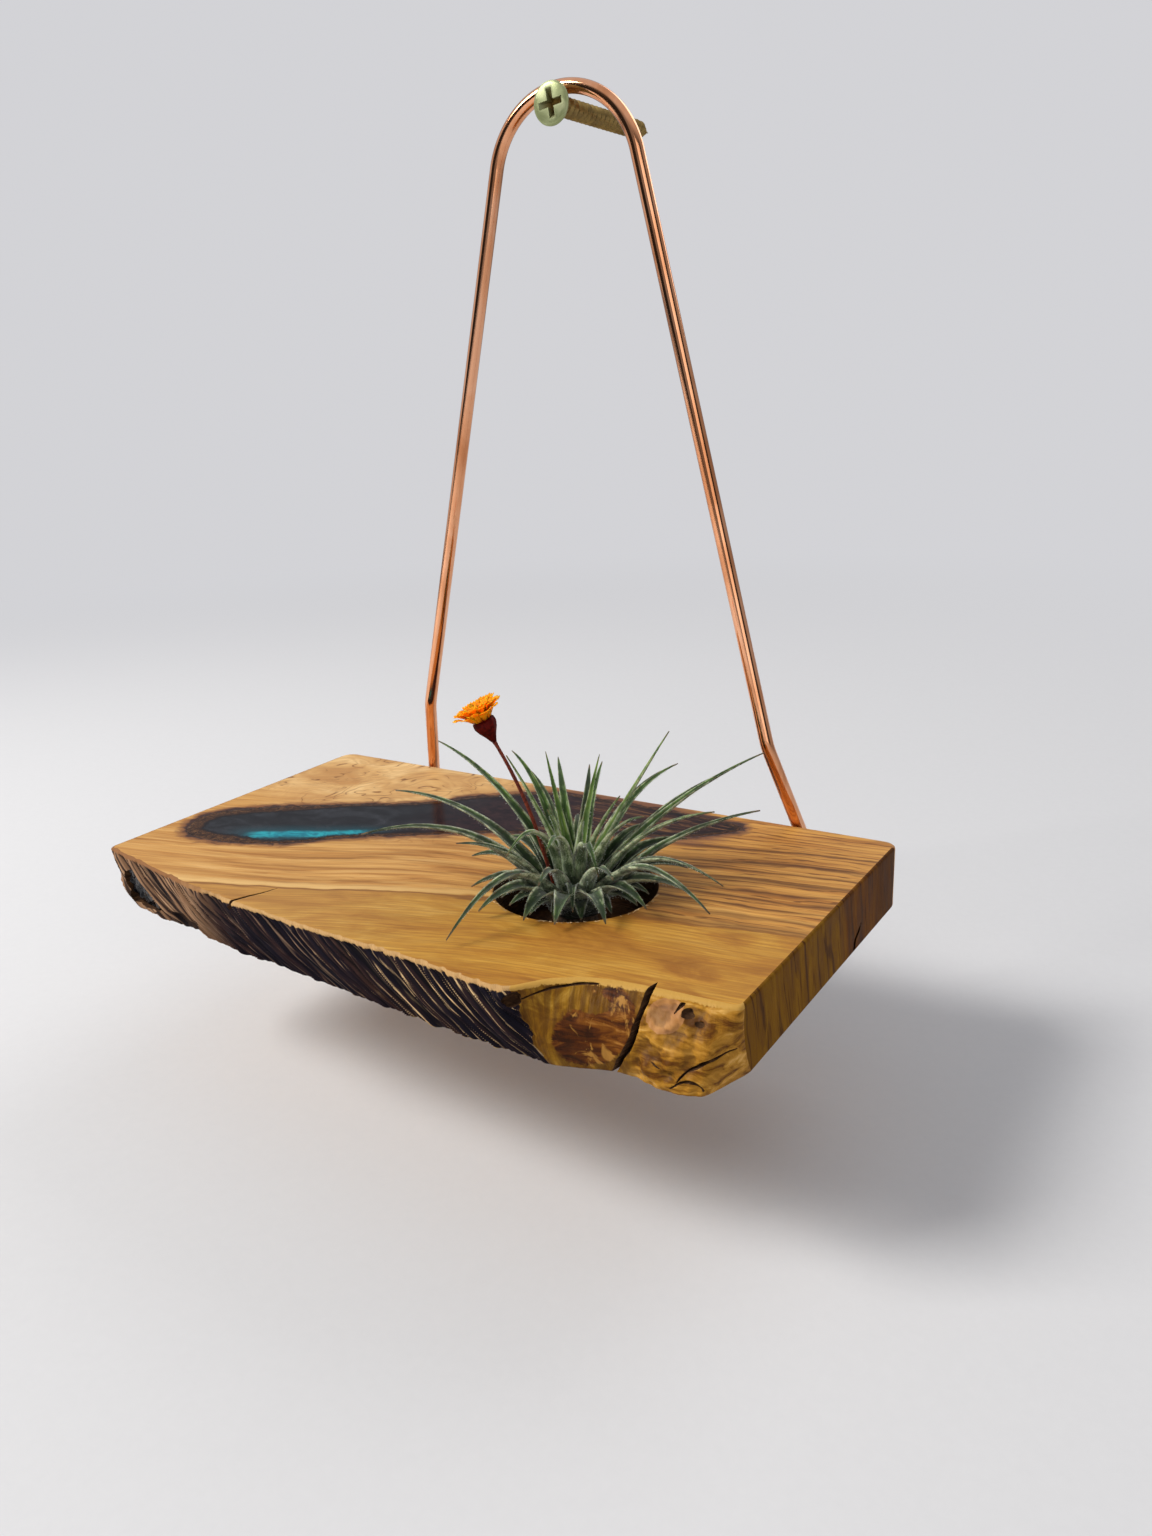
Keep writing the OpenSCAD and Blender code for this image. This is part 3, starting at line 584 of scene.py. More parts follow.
def set_attribute(obj, name, kind, *columns):
    """Stores one number, three, or a colour for each vertex, which the materials read."""
    if kind == "FLOAT_COLOR":
        columns += (np.ones(len(columns[0])),)
    layer = obj.data.attributes.new(name, kind, "POINT")
    field = {"FLOAT": "value", "FLOAT_VECTOR": "vector", "FLOAT_COLOR": "color"}[kind]
    layer.data.foreach_set(field, np.stack(columns, 1).astype(np.float32).ravel())


def smooth_with_edges(obj, degrees):
    """Smooth shading, but for edges that turn more than degrees."""
    obj.data.shade_smooth()
    obj.data.set_sharp_from_angle(angle=math.radians(degrees))


def vertices(obj):
    co = np.zeros(len(obj.data.vertices) * 3, np.float32)
    obj.data.vertices.foreach_get("co", co)
    return co.reshape(-1, 3).astype(float) / MM


def apply_modifiers(obj):
    """Bakes an object's modifiers into its mesh."""
    depsgraph = bpy.context.evaluated_depsgraph_get()
    mesh = bpy.data.meshes.new_from_object(obj.evaluated_get(depsgraph))
    old = obj.data
    obj.modifiers.clear()
    obj.data = mesh
    bpy.data.meshes.remove(old)


def cut(obj, cutters):
    """Takes the cutters away from obj, then deletes them."""
    for cutter in cutters:
        tool = obj.modifiers.new("cut", "BOOLEAN")
        tool.operation = "DIFFERENCE"
        tool.solver = "MANIFOLD"
        tool.object = cutter
        apply_modifiers(obj)
        bpy.data.objects.remove(cutter)


def circle(sides):
    return np.linspace(0, 2 * math.pi, sides, endpoint=False)


def hoop(radius, height, turn):
    """A flat ring of points round the upright axis."""
    return np.stack([radius * np.cos(turn), radius * np.sin(turn), np.full(len(turn), height)], 1)


def turned(p, degrees):
    """Points turned about the upright axis."""
    c, s = math.cos(math.radians(degrees)), math.sin(math.radians(degrees))
    return np.stack([p[..., 0] * c - p[..., 1] * s, p[..., 0] * s + p[..., 1] * c, p[..., 2]], -1)


def ball_mesh(radius):
    """Points and faces of a round ball."""
    ball = bmesh.new()
    bmesh.ops.create_icosphere(ball, subdivisions=3, radius=radius)
    made = np.array([v.co for v in ball.verts]), [[v.index for v in f.verts] for f in ball.faces]
    ball.free()
    return made


def closed(rings):
    """Points and faces of a closed solid through rings of equal length."""
    rings = np.asarray(rings, float)
    m, n = rings.shape[:2]
    faces = [list(range(n - 1, -1, -1)), list(range((m - 1) * n, m * n))]
    for j in range(m - 1):
        for i in range(n):
            a, b = j * n + i, j * n + (i + 1) % n
            faces.append([a, b, b + n, a + n])
    return rings.reshape(-1, 3), faces


def flipped(made):
    """The same solid with its faces turned over."""
    return made[0], [f[::-1] for f in made[1]]


class Heap:
    """Many closed solids for one mesh, with the numbers that its material reads."""

    def __init__(self):
        self.points, self.faces, self.marks, self.strips = [], [], [], []

    def add(self, points, faces, marks=(), strip=()):
        self.faces += [[v + len(self.points) for v in face] for face in faces]
        self.points += list(points)
        self.marks += list(marks)
        self.strips += list(strip)

    def mark(self, obj):
        set_attribute(obj, "leaf", "FLOAT_COLOR", *np.array(self.marks).T)
        set_attribute(obj, "leaf_uv", "FLOAT_VECTOR", *np.array(self.strips).T)


def bark_end(down):
    """Where the bark ends along the slab, at a depth under the top."""
    return curve([[d, e] for e, d in BARK_END], down)


def bark_share(x, down):
    """1 on the bark and 0 on the peeled part, with a soft limit."""
    limit = bark_end(down)
    return 1 - smooth(limit - 0.9, limit + 0.9, x + 0.5 * noise(x * 0.8, down * 0.8, 3.0, 5))


def edge_shape(x, t):
    """How far the smooth live edge stands in front of the back edge."""
    s = x / HALF_L
    return (SLAB_D + SWELL * ((1 - t) * curve(EDGE_TOP, s) + t * curve(EDGE_LOW, s))
            + 4 * t * (1 - t) * curve(EDGE_BELLY, s))


def edge_front(x, down):
    """The smooth live edge's place along Y, for one point of it."""
    return -edge_shape(np.array([x]), np.array([np.clip(down / SLAB_T, 0, 1)]))[0]


def edge_comb(x, down):
    """The narrow ridges of the bark, from -1 in a groove to 1 on a crest."""
    u = x - RIDGE_LEAN * down
    sway = 1.1 * noise(u * 0.14, down * 0.07, 0, 27) + 0.35 * noise(u * 0.5, down * 0.12, 0, 28)
    return np.sin(2 * math.pi * (0.58 * u + sway)) * (0.75 + 0.25 * noise(u * 0.4, down * 0.2, 0, 29))


def edge_relief(x, t):
    """Relief of the live edge in millimetres, mostly inwards."""
    down = SLAB_T * t
    u = x - RIDGE_LEAN * down
    bark = bark_share(x, down)
    inner = smooth(0.0, 0.12, t) * (1 - 0.4 * smooth(0.94, 1, t))
    wide = noise(u * 0.27, down * 0.03, 0, 21)
    mid = noise(u * 0.62 + 0.4 * noise(u * 0.2, down * 0.1, 0, 8), down * 0.05, 0, 22)
    thin = 1 - 2 * abs(noise(u * 1.15, down * 0.07, 0, 23))
    fine = 1 - 2 * abs(noise(u * 2.3, down * 0.16, 0, 24))
    plates = noise(u * 0.5, down * 0.35, 0, 26)
    ridges = 0.75 * wide + 0.55 * mid + 0.3 * thin + 0.16 * fine + 0.2 * plates - 0.45
    broken = -1.3 * smooth(0.72, 0.82, t + 0.05 * noise(x * 0.5, 0, 0, 31))
    broken = broken * (1 - smooth(-50.2, -49.2, x)) * smooth(-62, -58, x)
    ridges = ridges + 0.42 * edge_comb(x, down) * smooth(-60, -46, x)
    peel = 0.32 * rough(x * 0.16, down * 0.22, 0, 41, 3) - 0.12 * abs(noise(x * 0.9, down * 0.2, 0, 43))
    burr = smooth(64, 68, x)
    peel = peel + burr * (0.85 * rough(x * 0.3, down * 0.34, 0, 51, 4) - 0.5)
    step = 0.45 * smooth(0.0, 1.2, x - bark_end(down)) * (1 - burr)
    frame_fade = 1 - smooth(HALF_L - 2.0, HALF_L, abs(x))
    body = inner * (bark * (ridges + broken) + (1 - bark) * (peel - 0.3 * (1 - step)))
    chip = -0.5 * smooth(0.1, 0.9, noise(x * 0.7, 3, 0, 61)) * smooth(0.12, 0, t) * bark
    return frame_fade * (body + chip)


# The slab's mesh: levels down its thickness, columns along it, rows from front to back, points per corner
LEVELS = 44
COLUMNS = 470
ROWS = 92
CORNER_STEPS = 10
NOSE_R = 1.4


def slab_levels():
    """Depths under the top, with the inset of the rounded arris at each."""
    turn = np.radians([0, 30, 60])
    low = [[ARRIS * (1 - math.cos(a)), ARRIS * (1 - math.sin(a))] for a in turn]
    inner = [[d, 0.0] for d in np.linspace(ARRIS, SLAB_T - ARRIS, LEVELS)]
    return low + inner + [[SLAB_T - d, e] for d, e in reversed(low)]


def slab_columns():
    """Places along the slab, closer together at the rounded corners."""
    turn = np.linspace(0, math.pi / 2, CORNER_STEPS)
    ends = CORNER_R * (1 - np.cos(turn))
    middle = np.linspace(-HALF_L + CORNER_R, HALF_L - CORNER_R, COLUMNS)
    return np.concatenate([-HALF_L + ends[:-1], middle, (HALF_L - ends[:-1])[::-1]])


def slab_outline(columns, down, inset):
    """Places along the slab at one level, and where its back and its front lie there."""
    past = np.abs(columns) - HALF_L
    corner = np.clip(past + CORNER_R, 0, CORNER_R)
    back = -inset - (CORNER_R - np.sqrt(np.maximum(CORNER_R ** 2 - corner ** 2, 0)))
    nose = np.clip(past + NOSE_R, 0, NOSE_R)
    t = np.full(len(columns), down / SLAB_T)
    front = inset - edge_shape(columns, t) - edge_relief(columns, t)
    front = front + NOSE_R - np.sqrt(NOSE_R ** 2 - nose ** 2)
    return columns * (HALF_L - inset) / HALF_L, back, front


def slab_blank(materials):
    """The slab before anything is cut: rings down its thickness, and a grid on each broad face."""
    columns, levels = slab_columns(), slab_levels()
    n, m = len(columns), ROWS - 2
    inner = np.linspace(0, 1, ROWS)[1:-1]
    points = []
    for down, inset in levels:
        x, back, front = slab_outline(columns, down, inset)
        z = np.full(n, -down)
        right, left = (np.stack([np.full(m, x[i]), a[i] + (b[i] - a[i]) * inner, np.full(m, -down)], 1)
                       for i, a, b in ((-1, front, back), (0, back, front)))
        points.append(np.concatenate([np.stack([x, front, z], 1), right,
                                      np.stack([x, back, z], 1)[::-1], left]))
    size = len(points[0])
    kind = np.repeat([1, 2, 0, 2], [n - 1, m + 1, n - 1, m + 1])
    faces, indices = [], []
    around = np.arange(size)
    ahead = (around + 1) % size
    for k in range(len(levels) - 1):
        a, b = k * size, (k + 1) * size
        faces.append(np.stack([a + around, b + around, b + ahead, a + ahead], 1))
        indices.append(kind)
    start = len(levels) * size
    for level, flip in ((0, False), (len(levels) - 1, True)):
        base = level * size
        ring = points[level]
        grid = np.zeros((ROWS, n), np.int64)
        grid[0] = base + np.arange(n)
        grid[-1] = base + n + m + np.arange(n)[::-1]
        grid[1:-1, -1] = base + n + np.arange(m)
        grid[1:-1, 0] = (base + 2 * n + m + np.arange(m))[::-1]
        grid[1:-1, 1:-1] = start + np.arange(m * (n - 2)).reshape(m, n - 2)
        front, back = ring[:n], ring[n + m: 2 * n + m][::-1]
        s = inner[:, None, None]
        points.append((front[None, 1:-1] * (1 - s) + back[None, 1:-1] * s).reshape(-1, 3))
        start += m * (n - 2)
        quad = np.stack([grid[:-1, :-1], grid[:-1, 1:], grid[1:, 1:], grid[1:, :-1]], -1).reshape(-1, 4)
        faces.append(quad[:, ::-1] if flip else quad)
        indices.append(np.zeros(len(quad), int))
    return mesh_object("live_edge_slab", np.concatenate(points) + SLAB_AT, np.concatenate(faces), materials,
                       np.concatenate(indices))


def drum(centre, radius, low, high, taper=0.0, sides=96):
    """Points and faces of an upright drum, flared by taper at its high end."""
    at = np.array([centre[0], centre[1], 0])
    wide = radius + taper
    return closed([hoop(r, z, circle(sides)) + at
                   for z, r in ((low, radius), (-taper, radius), (0.0, wide), (high, wide))])


def groove(path, depth, width, roughness=0.0, seed=0):
    """A wedge along the live edge: path holds [x, depth under the top], width tapers at both ends."""
    path = np.array(path, float)
    s = np.linspace(0, len(path) - 1, 6 * len(path))
    i = np.clip(s.astype(int), 0, len(path) - 2)
    f = (s - i)[:, None]
    before, after = path[np.clip(i - 1, 0, None)], path[np.clip(i + 2, None, len(path) - 1)]
    a, b = path[i], path[i + 1]
    bend = 2 * before - 5 * a + 4 * b - after + f * (3 * (a - b) + after - before)
    p = a + 0.5 * f * (b - before + f * bend)
    p = p + roughness * np.stack([noise(s * 1.7, 0, 0, seed), noise(s * 1.7, 5, 0, seed)], 1)
    way = np.gradient(p, axis=0)
    way /= np.linalg.norm(way, axis=1)[:, None]
    side = np.stack([-way[:, 1], way[:, 0]], 1)
    ends = np.sin(np.pi * np.linspace(0.06, 0.94, len(s))) ** 0.5
    rings = []
    for (x, down), (sx, sd), e in zip(p, side, ends):
        w = width / 2 * e * (1 + 0.25 * noise(x, down, 0, seed + 3))
        y = edge_front(x, down)
        high, low = (x + sx * w, -(down + sd * w)), (x - sx * w, -(down - sd * w))
        rings.append([[high[0], y - 2.0, high[1]], [high[0], y + 0.2, high[1]], [x, y + depth * e, -down],
                      [low[0], y + 0.2, low[1]], [low[0], y - 2.0, low[1]]])
    return closed(rings)


def cad_copy(node, name, materials, lift=0.0):
    """A welded copy of a CAD node's mesh. lift raises what lies on the slab's top."""
    obj = bpy.data.objects.new(name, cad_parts[node].data.copy())
    bpy.context.scene.collection.objects.link(obj)
    obj.data.materials.clear()
    for m in materials:
        obj.data.materials.append(m)
    mesh = bmesh.new()
    mesh.from_mesh(obj.data)
    bmesh.ops.remove_doubles(mesh, verts=mesh.verts, dist=1e-6)
    for v in mesh.verts:
        if lift and abs(v.co.z / MM - SLAB_AT[2]) < 0.01:
            v.co.z += lift * MM
    mesh.to_mesh(obj.data)
    mesh.free()
    last = np.full(len(obj.data.polygons), len(materials) - 1, np.int32)
    obj.data.polygons.foreach_set("material_index", last)
    return obj


# Hollow that the black resin fills: [from the left end, behind the live edge, above the underside]
LOBES = [[7.6, 1.4, 8.6], [7.8, 1.4, 4.6], [12.4, 1.4, 7.6], [17.2, 1.4, 5.4], [15, 1.4, 4.2],
         [9.5, 6.5, 6.8], [14.5, 6.5, 5.4]]
LOBE_R = 2.9


def corner_pocket():
    """Points and faces of the hollow low in the live edge, open to the front."""
    hull = bmesh.new()
    for left, behind, above in LOBES:
        x, down = left - HALF_L, SLAB_T - above
        for co in ball_mesh(LOBE_R)[0]:
            hull.verts.new(Vector(co) + Vector((x, behind + edge_front(x, down), -down)))
    bmesh.ops.convex_hull(hull, input=hull.verts[:])
    bmesh.ops.delete(hull, geom=[v for v in hull.verts if not v.link_faces], context="VERTS")
    bmesh.ops.recalc_face_normals(hull, faces=hull.faces[:])
    hull.verts.index_update()
    made = np.array([v.co for v in hull.verts]), [[v.index for v in f.verts] for f in hull.faces]
    hull.free()
    return made


# Splits in the peeled part of the live edge: [[x, depth under the top], ...], depth and width
SPLITS = [([[66.6, -2.0], [66.3, 1.0], [65.9, 5.0], [65.0, 9.0], [63.0, 13.0], [61.0, 17.0]], 3.6, 1.5),
          ([[75.0, 12.6], [76.6, 10.6], [78.6, 9.2], [80.6, 8.3], [83.0, 7.9]], 2.2, 0.85),
          ([[74.0, 14.0], [75.6, 12.6], [77.2, 12.0], [78.8, 12.6], [79.8, 13.6]], 2.0, 0.8),
          ([[72.0, 2.6], [72.7, 1.6], [73.4, 1.0]], 1.8, 1.0),
          ([[69.6, 10.2], [71.0, 10.7], [72.4, 11.2]], 1.1, 0.8),
          ([[44.6, 2.9], [47.0, 1.9], [50.0, 1.1], [53.5, 0.7], [57.0, 0.5]], 1.3, 0.5)]
# Knot hole where the bark ends, and two pits: x, depth under the top, radius
PITS = [(44.2, 2.4, 1.35), (74.6, 2.2, 1.0), (77.0, 3.3, 0.8)]
# Hooked check low in the right end: [y, z]
CHECK = np.array([[-24.6, -9.6], [-25.4, -11.2], [-27.6, -12.4], [-28.4, -15.8], [-29.6, -15.8],
                  [-28.6, -12.0], [-26.0, -10.4]])
# Dry crack in the top, open at the bark: [x, y]
CRACK_TIP = np.array([-27.4, -85.2])
CRACK_MOUTH = np.array([-33.4, -101.0])
ROD_R = 1.6
ROD_HOLE_R = 1.68
ROD_HOLE_DEPTH = 20.0
RAW_CUT = 3


def dry_crack():
    """Points and faces of the wedge that the dry crack takes out of the top."""
    way = (CRACK_TIP - CRACK_MOUTH) / np.linalg.norm(CRACK_TIP - CRACK_MOUTH)
    side = np.array([-way[1], way[0]])
    rings = []
    for s in np.linspace(0, 1, 14):
        p = CRACK_MOUTH + (CRACK_TIP - CRACK_MOUTH) * s + side * 0.35 * noise(s * 5, 0, 0, 71)
        w = 0.55 * (1 - s) ** 0.8 + 0.05
        a, b = p - side * w, p + side * w
        rings.append([[*a, 1.0], [*a, -0.2], [*p, -7.0 * (1 - s) ** 0.5 - 0.6], [*b, -0.2], [*b, 1.0]])
    return closed(rings)


def slab_cutters(materials):
    """Everything that is drilled, poured or split in the slab."""
    def solid(name, made):
        return mesh_object(name, made[0] + SLAB_AT, made[1], materials, np.full(len(made[1]), RAW_CUT))

    cutters = [solid("well", drum(WELL, WELL_R, -WELL_DEPTH, 2.0, 0.25)),
               cad_copy("river_resin", "river_cut", materials, 1.0), solid("corner_cut", corner_pocket())]
    rod_lo, rod_hi = (np.array(c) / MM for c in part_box("hanger"))
    for x in (rod_lo[0] + ROD_R, rod_hi[0] - ROD_R):
        middle = np.array([x - SLAB_AT[0], 0, -SLAB_T / 2])
        rings = [middle + hoop(ROD_HOLE_R, y, circle(40))[:, [0, 2, 1]] for y in (1.0, -ROD_HOLE_DEPTH)]
        cutters.append(solid("rod_hole", closed(rings)))
    cutters.append(solid("dry_crack", dry_crack()))
    for i, (path, depth, width) in enumerate(SPLITS):
        cutters.append(solid("split", groove(path, depth, width, 0.12, 80 + i)))
    for i, (x, down, r) in enumerate(PITS):
        p, faces = ball_mesh(1)
        p = p * (1 + 0.3 * noise(*(p.T * 1.7), 91 + i)[:, None]) * [r * 1.25, r * 1.5, r * 0.8]
        cutters.append(solid("pit", (p + [x, edge_front(x, down) + 0.2, -down], faces)))
    rings = [np.stack([np.full(len(CHECK), x), *CHECK.T], 1) for x in (HALF_L - 3.0, HALF_L + 1.0)]
    cutters.append(solid("end_check", closed(rings)))
    return cutters


def segment_distance(p, a, b):
    """Shortest distance from each point to any of the segments a to b, seen from above."""
    best = np.full(len(p), 1e9)
    for s, e in zip(a, b):
        d = e - s
        f = np.clip(((p - s) @ d) / max(d @ d, 1e-9), 0, 1)
        best = np.minimum(best, np.linalg.norm(p - s - f[:, None] * d, axis=1))
    return best


def river_distance(p):
    """Distance from each point of the slab's frame to the banks of the resin river, seen from above."""
    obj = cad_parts["river_resin"]
    co = vertices(obj) - SLAB_AT
    starts, ends = [], []
    for face in obj.data.polygons:
        loop = [co[v] for v in face.vertices]
        top = [v[:2] for v in loop if v[2] > -0.05]
        if len(top) == 2 and min(v[2] for v in loop) < -1:
            starts.append(top[0])
            ends.append(top[1])
    return segment_distance(p[:, :2], np.array(starts), np.array(ends))


def patch(u, v, size, outer, inner):
    """1 in an oval round u = v = 0, fading to 0 between the shares inner and outer of its size."""
    return smooth(outer, inner, np.hypot(u / size[0], v / size[1]))


def dress_slab(obj):
    """Attributes that the slab's materials read, worked out from each vertex's place."""
    p = vertices(obj) - SLAB_AT
    x, y, z = p.T
    down = -z
    burl = smooth(-8, -34, x) * smooth(-52, -36, y + 0.25 * x + 12)
    behind = y - curve(HEART_LINE, x) + 0.12 * down
    # the figure turns round the river and swells behind the well
    bend = 5 * np.exp(-((x + 20) / 30) ** 2) * smooth(0, 30, behind)
    ring = 3.5 * np.exp(-((x - WELL[0]) / 26) ** 2 - ((y - WELL[1] - 20) / 22) ** 2)
    set_attribute(obj, "grain", "FLOAT_VECTOR", x + 0.2 * y, behind - bend + ring, 0.6 * z)
    away = river_distance(p)
    purple = patch(x - 10, y + 11, (30, 15), 1.25, 0.55) + 0.8 * patch(x - 36, y + 15, (12, 9), 1.2, 0.5)
    stripe = 0.3 + 0.7 * smooth(18, 44, x) - 0.25 * smooth(-30, -60, x)
    set_attribute(obj, "figure", "FLOAT_COLOR", x / 100 + 0.5, 0 * x, burl)
    set_attribute(obj, "marks", "FLOAT_COLOR", np.clip(away / 10, 0, 1), np.clip(purple, 0, 1), stripe)

    t = np.clip(down / SLAB_T, 0, 1)
    bark = bark_share(x, down)
    lean = RIDGE_LEAN * down * bark + 0.25 * down * (1 - bark)
    set_attribute(obj, "edge_grain", "FLOAT_VECTOR", x - lean, down, y * 0.5)
    set_attribute(obj, "edge_comb", "FLOAT", edge_comb(x, down))
    drop = -y - edge_shape(x, t)
    # low where the live edge lies in a hollow and 0 in splits and pits; the live edge's material paints
    # shade where it is low
    recess_shade = 0.5 + np.where(drop < -1.6, -0.5, np.clip(edge_relief(x, t) + 0.25, -0.8, 0.8) * 0.5)
    set_attribute(obj, "edge_marks", "FLOAT_COLOR", bark, recess_shade, smooth(1.5, 0.2, down))
    amber = patch(x - 58.6 + 0.25 * (down - 7), down - 7.4, (6.6, 6.6), 1.3, 0.7)
    amber = amber - 0.75 * patch(x - 57, down - 3.4, (4.4, 1.7), 1.2, 0.5)
    knot = patch(x - 70.6, down - 3.2, (3.4, 2.4), 1.25, 0.85)
    right = (x + HALF_L) / (2 * HALF_L)
    set_attribute(obj, "edge_marks_b", "FLOAT_COLOR", np.clip(amber, 0, 1), knot, right)


def build_slab():
    materials = [wood_material(), edge_material(), end_material(), cut_material()]
    obj = slab_blank(materials)
    cut(obj, slab_cutters(materials))
    smooth_with_edges(obj, 38)
    dress_slab(obj)
    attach(obj, "holder")
    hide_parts("slab")


def cut_into_squares(obj, step):
    """Splits an object's faces along upright planes, so that it can carry fine attributes."""
    p = vertices(obj)
    mesh = bmesh.new()
    mesh.from_mesh(obj.data)
    for axis in (0, 1):
        normal = Vector((axis == 0, axis == 1, 0))
        for at in np.arange(p[:, axis].min() + step / 2, p[:, axis].max(), step):
            bmesh.ops.bisect_plane(mesh, geom=mesh.verts[:] + mesh.edges[:] + mesh.faces[:], dist=1e-7,
                                   plane_co=normal * (at * MM), plane_no=normal)
    mesh.to_mesh(obj.data)
    mesh.free()


def build_river():
    obj = cad_copy("river_resin", "river_pour", [river_material()])
    cut_into_squares(obj, 0.8)
    smooth_with_edges(obj, 38)
    set_attribute(obj, "bank", "FLOAT", river_distance(vertices(obj) - SLAB_AT))
    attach(obj, "holder")
    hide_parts("river_resin")


def build_corner_resin():
    obj = cad_copy("corner_resin", "corner_chunk", [black_resin_material()])
    split = obj.modifiers.new("split", "SUBSURF")
    split.subdivision_type = "SIMPLE"
    split.levels = 2
    apply_modifiers(obj)
    p = vertices(obj)
    middle = p.mean(0)
    lump = rough(*((p - middle).T * 0.3), 7, 2)
    p = p - (p - middle) * (0.03 + 0.09 * np.clip(lump + 0.2, 0, 1))[:, None]
    obj.data.vertices.foreach_set("co", (p * MM).astype(np.float32).ravel())
    obj.data.shade_smooth()
    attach(obj, "holder")
    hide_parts("corner_resin")


def assign(node, material):
    """Gives a CAD node a material, with smooth shading left as it was packed."""
    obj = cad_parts[node]
    obj.data.materials.clear()
    obj.data.materials.append(material)


def bent_path(corners, bends, step=0.6):
    """Points along straight lines that arcs of the radii in bends join at the inner corners."""
    corners = [np.array(c, float) for c in corners]
    points = [corners[0]]
    for before, at, after, radius in zip(corners, corners[1:], corners[2:], bends):
        a, b = before - at, after - at
        a, b = a / np.linalg.norm(a), b / np.linalg.norm(b)
        turn = math.pi - math.acos(a @ b)
        reach = radius * math.tan(turn / 2)
        middle = at + (a + b) / np.linalg.norm(a + b) * radius / math.cos(turn / 2)
        start, end = at + a * reach - middle, at + b * reach - middle
        for f in np.linspace(0, 1, max(8, int(radius * turn / step))):
            across = math.sin((1 - f) * turn) * start + math.sin(f * turn) * end
            points.append(middle + across / math.sin(turn))
    return np.array(points + [corners[-1]])


def swept(path, radius, sides=28):
    """Points and faces of a round rod along the path."""
    way = np.gradient(path, axis=0)
    way /= np.linalg.norm(way, axis=1)[:, None]
    turn = circle(sides)
    normal = np.cross(way[0], [0.3, 0.2, 1.0])
    rings = []
    for p, d in zip(path, way):
        normal = normal - d * (normal @ d)
        normal = normal / np.linalg.norm(normal)
        side = np.cross(d, normal)
        rings.append(p + radius * (np.cos(turn)[:, None] * normal + np.sin(turn)[:, None] * side))
    return closed(rings)


def build_rod():
    """The copper hanger: one rod, bent twice at each foot and once over the screw."""
    lo, hi = (np.array(c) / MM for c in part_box("hanger"))
    loop_r, kink_r, heel_r = 19.0, 14.0, 3.25
    stand, kink_w, kink_h, foot_x = -9.0, 50.1, 20.0, hi[0] - ROD_R
    foot_z, kink_z = SLAB_AT[2] - SLAB_T / 2, SLAB_AT[2] + kink_h
    loop_z = hi[2] - ROD_R - loop_r
    # the heel's bend touches the slab's back, so its corner comes from the slope that it leads to
    heel_y = 0.0
    for _ in range(6):
        d = np.array([foot_x - kink_w, heel_y - stand, -kink_h - SLAB_T / 2])
        heel_y = SLAB_AT[1] + heel_r * math.tan(math.acos(-d[1] / np.linalg.norm(d)) / 2)
    far = math.hypot(kink_w, loop_z - kink_z)
    lean = math.atan2(kink_w, loop_z - kink_z) - math.asin(loop_r / far)
    side = [[foot_x, lo[1], foot_z], [foot_x, heel_y, foot_z], [kink_w, stand, kink_z]]
    corners = [[-x, y, z] for x, y, z in side] + [[0, stand, kink_z + kink_w / math.tan(lean)]] + side[::-1]
    rod = swept(bent_path(corners, [heel_r, kink_r, loop_r, kink_r, heel_r]), ROD_R)
    obj = mesh_object("copper_rod", *flipped(rod), [copper_material()])
    smooth_with_edges(obj, 40)
    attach(obj, "holder")
    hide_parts("hanger")


# The cross recess: degrees that it is turned, and its depth
RECESS_TURN = 8
RECESS_DEPTH = 2.4
SCREW_SIDES = 48


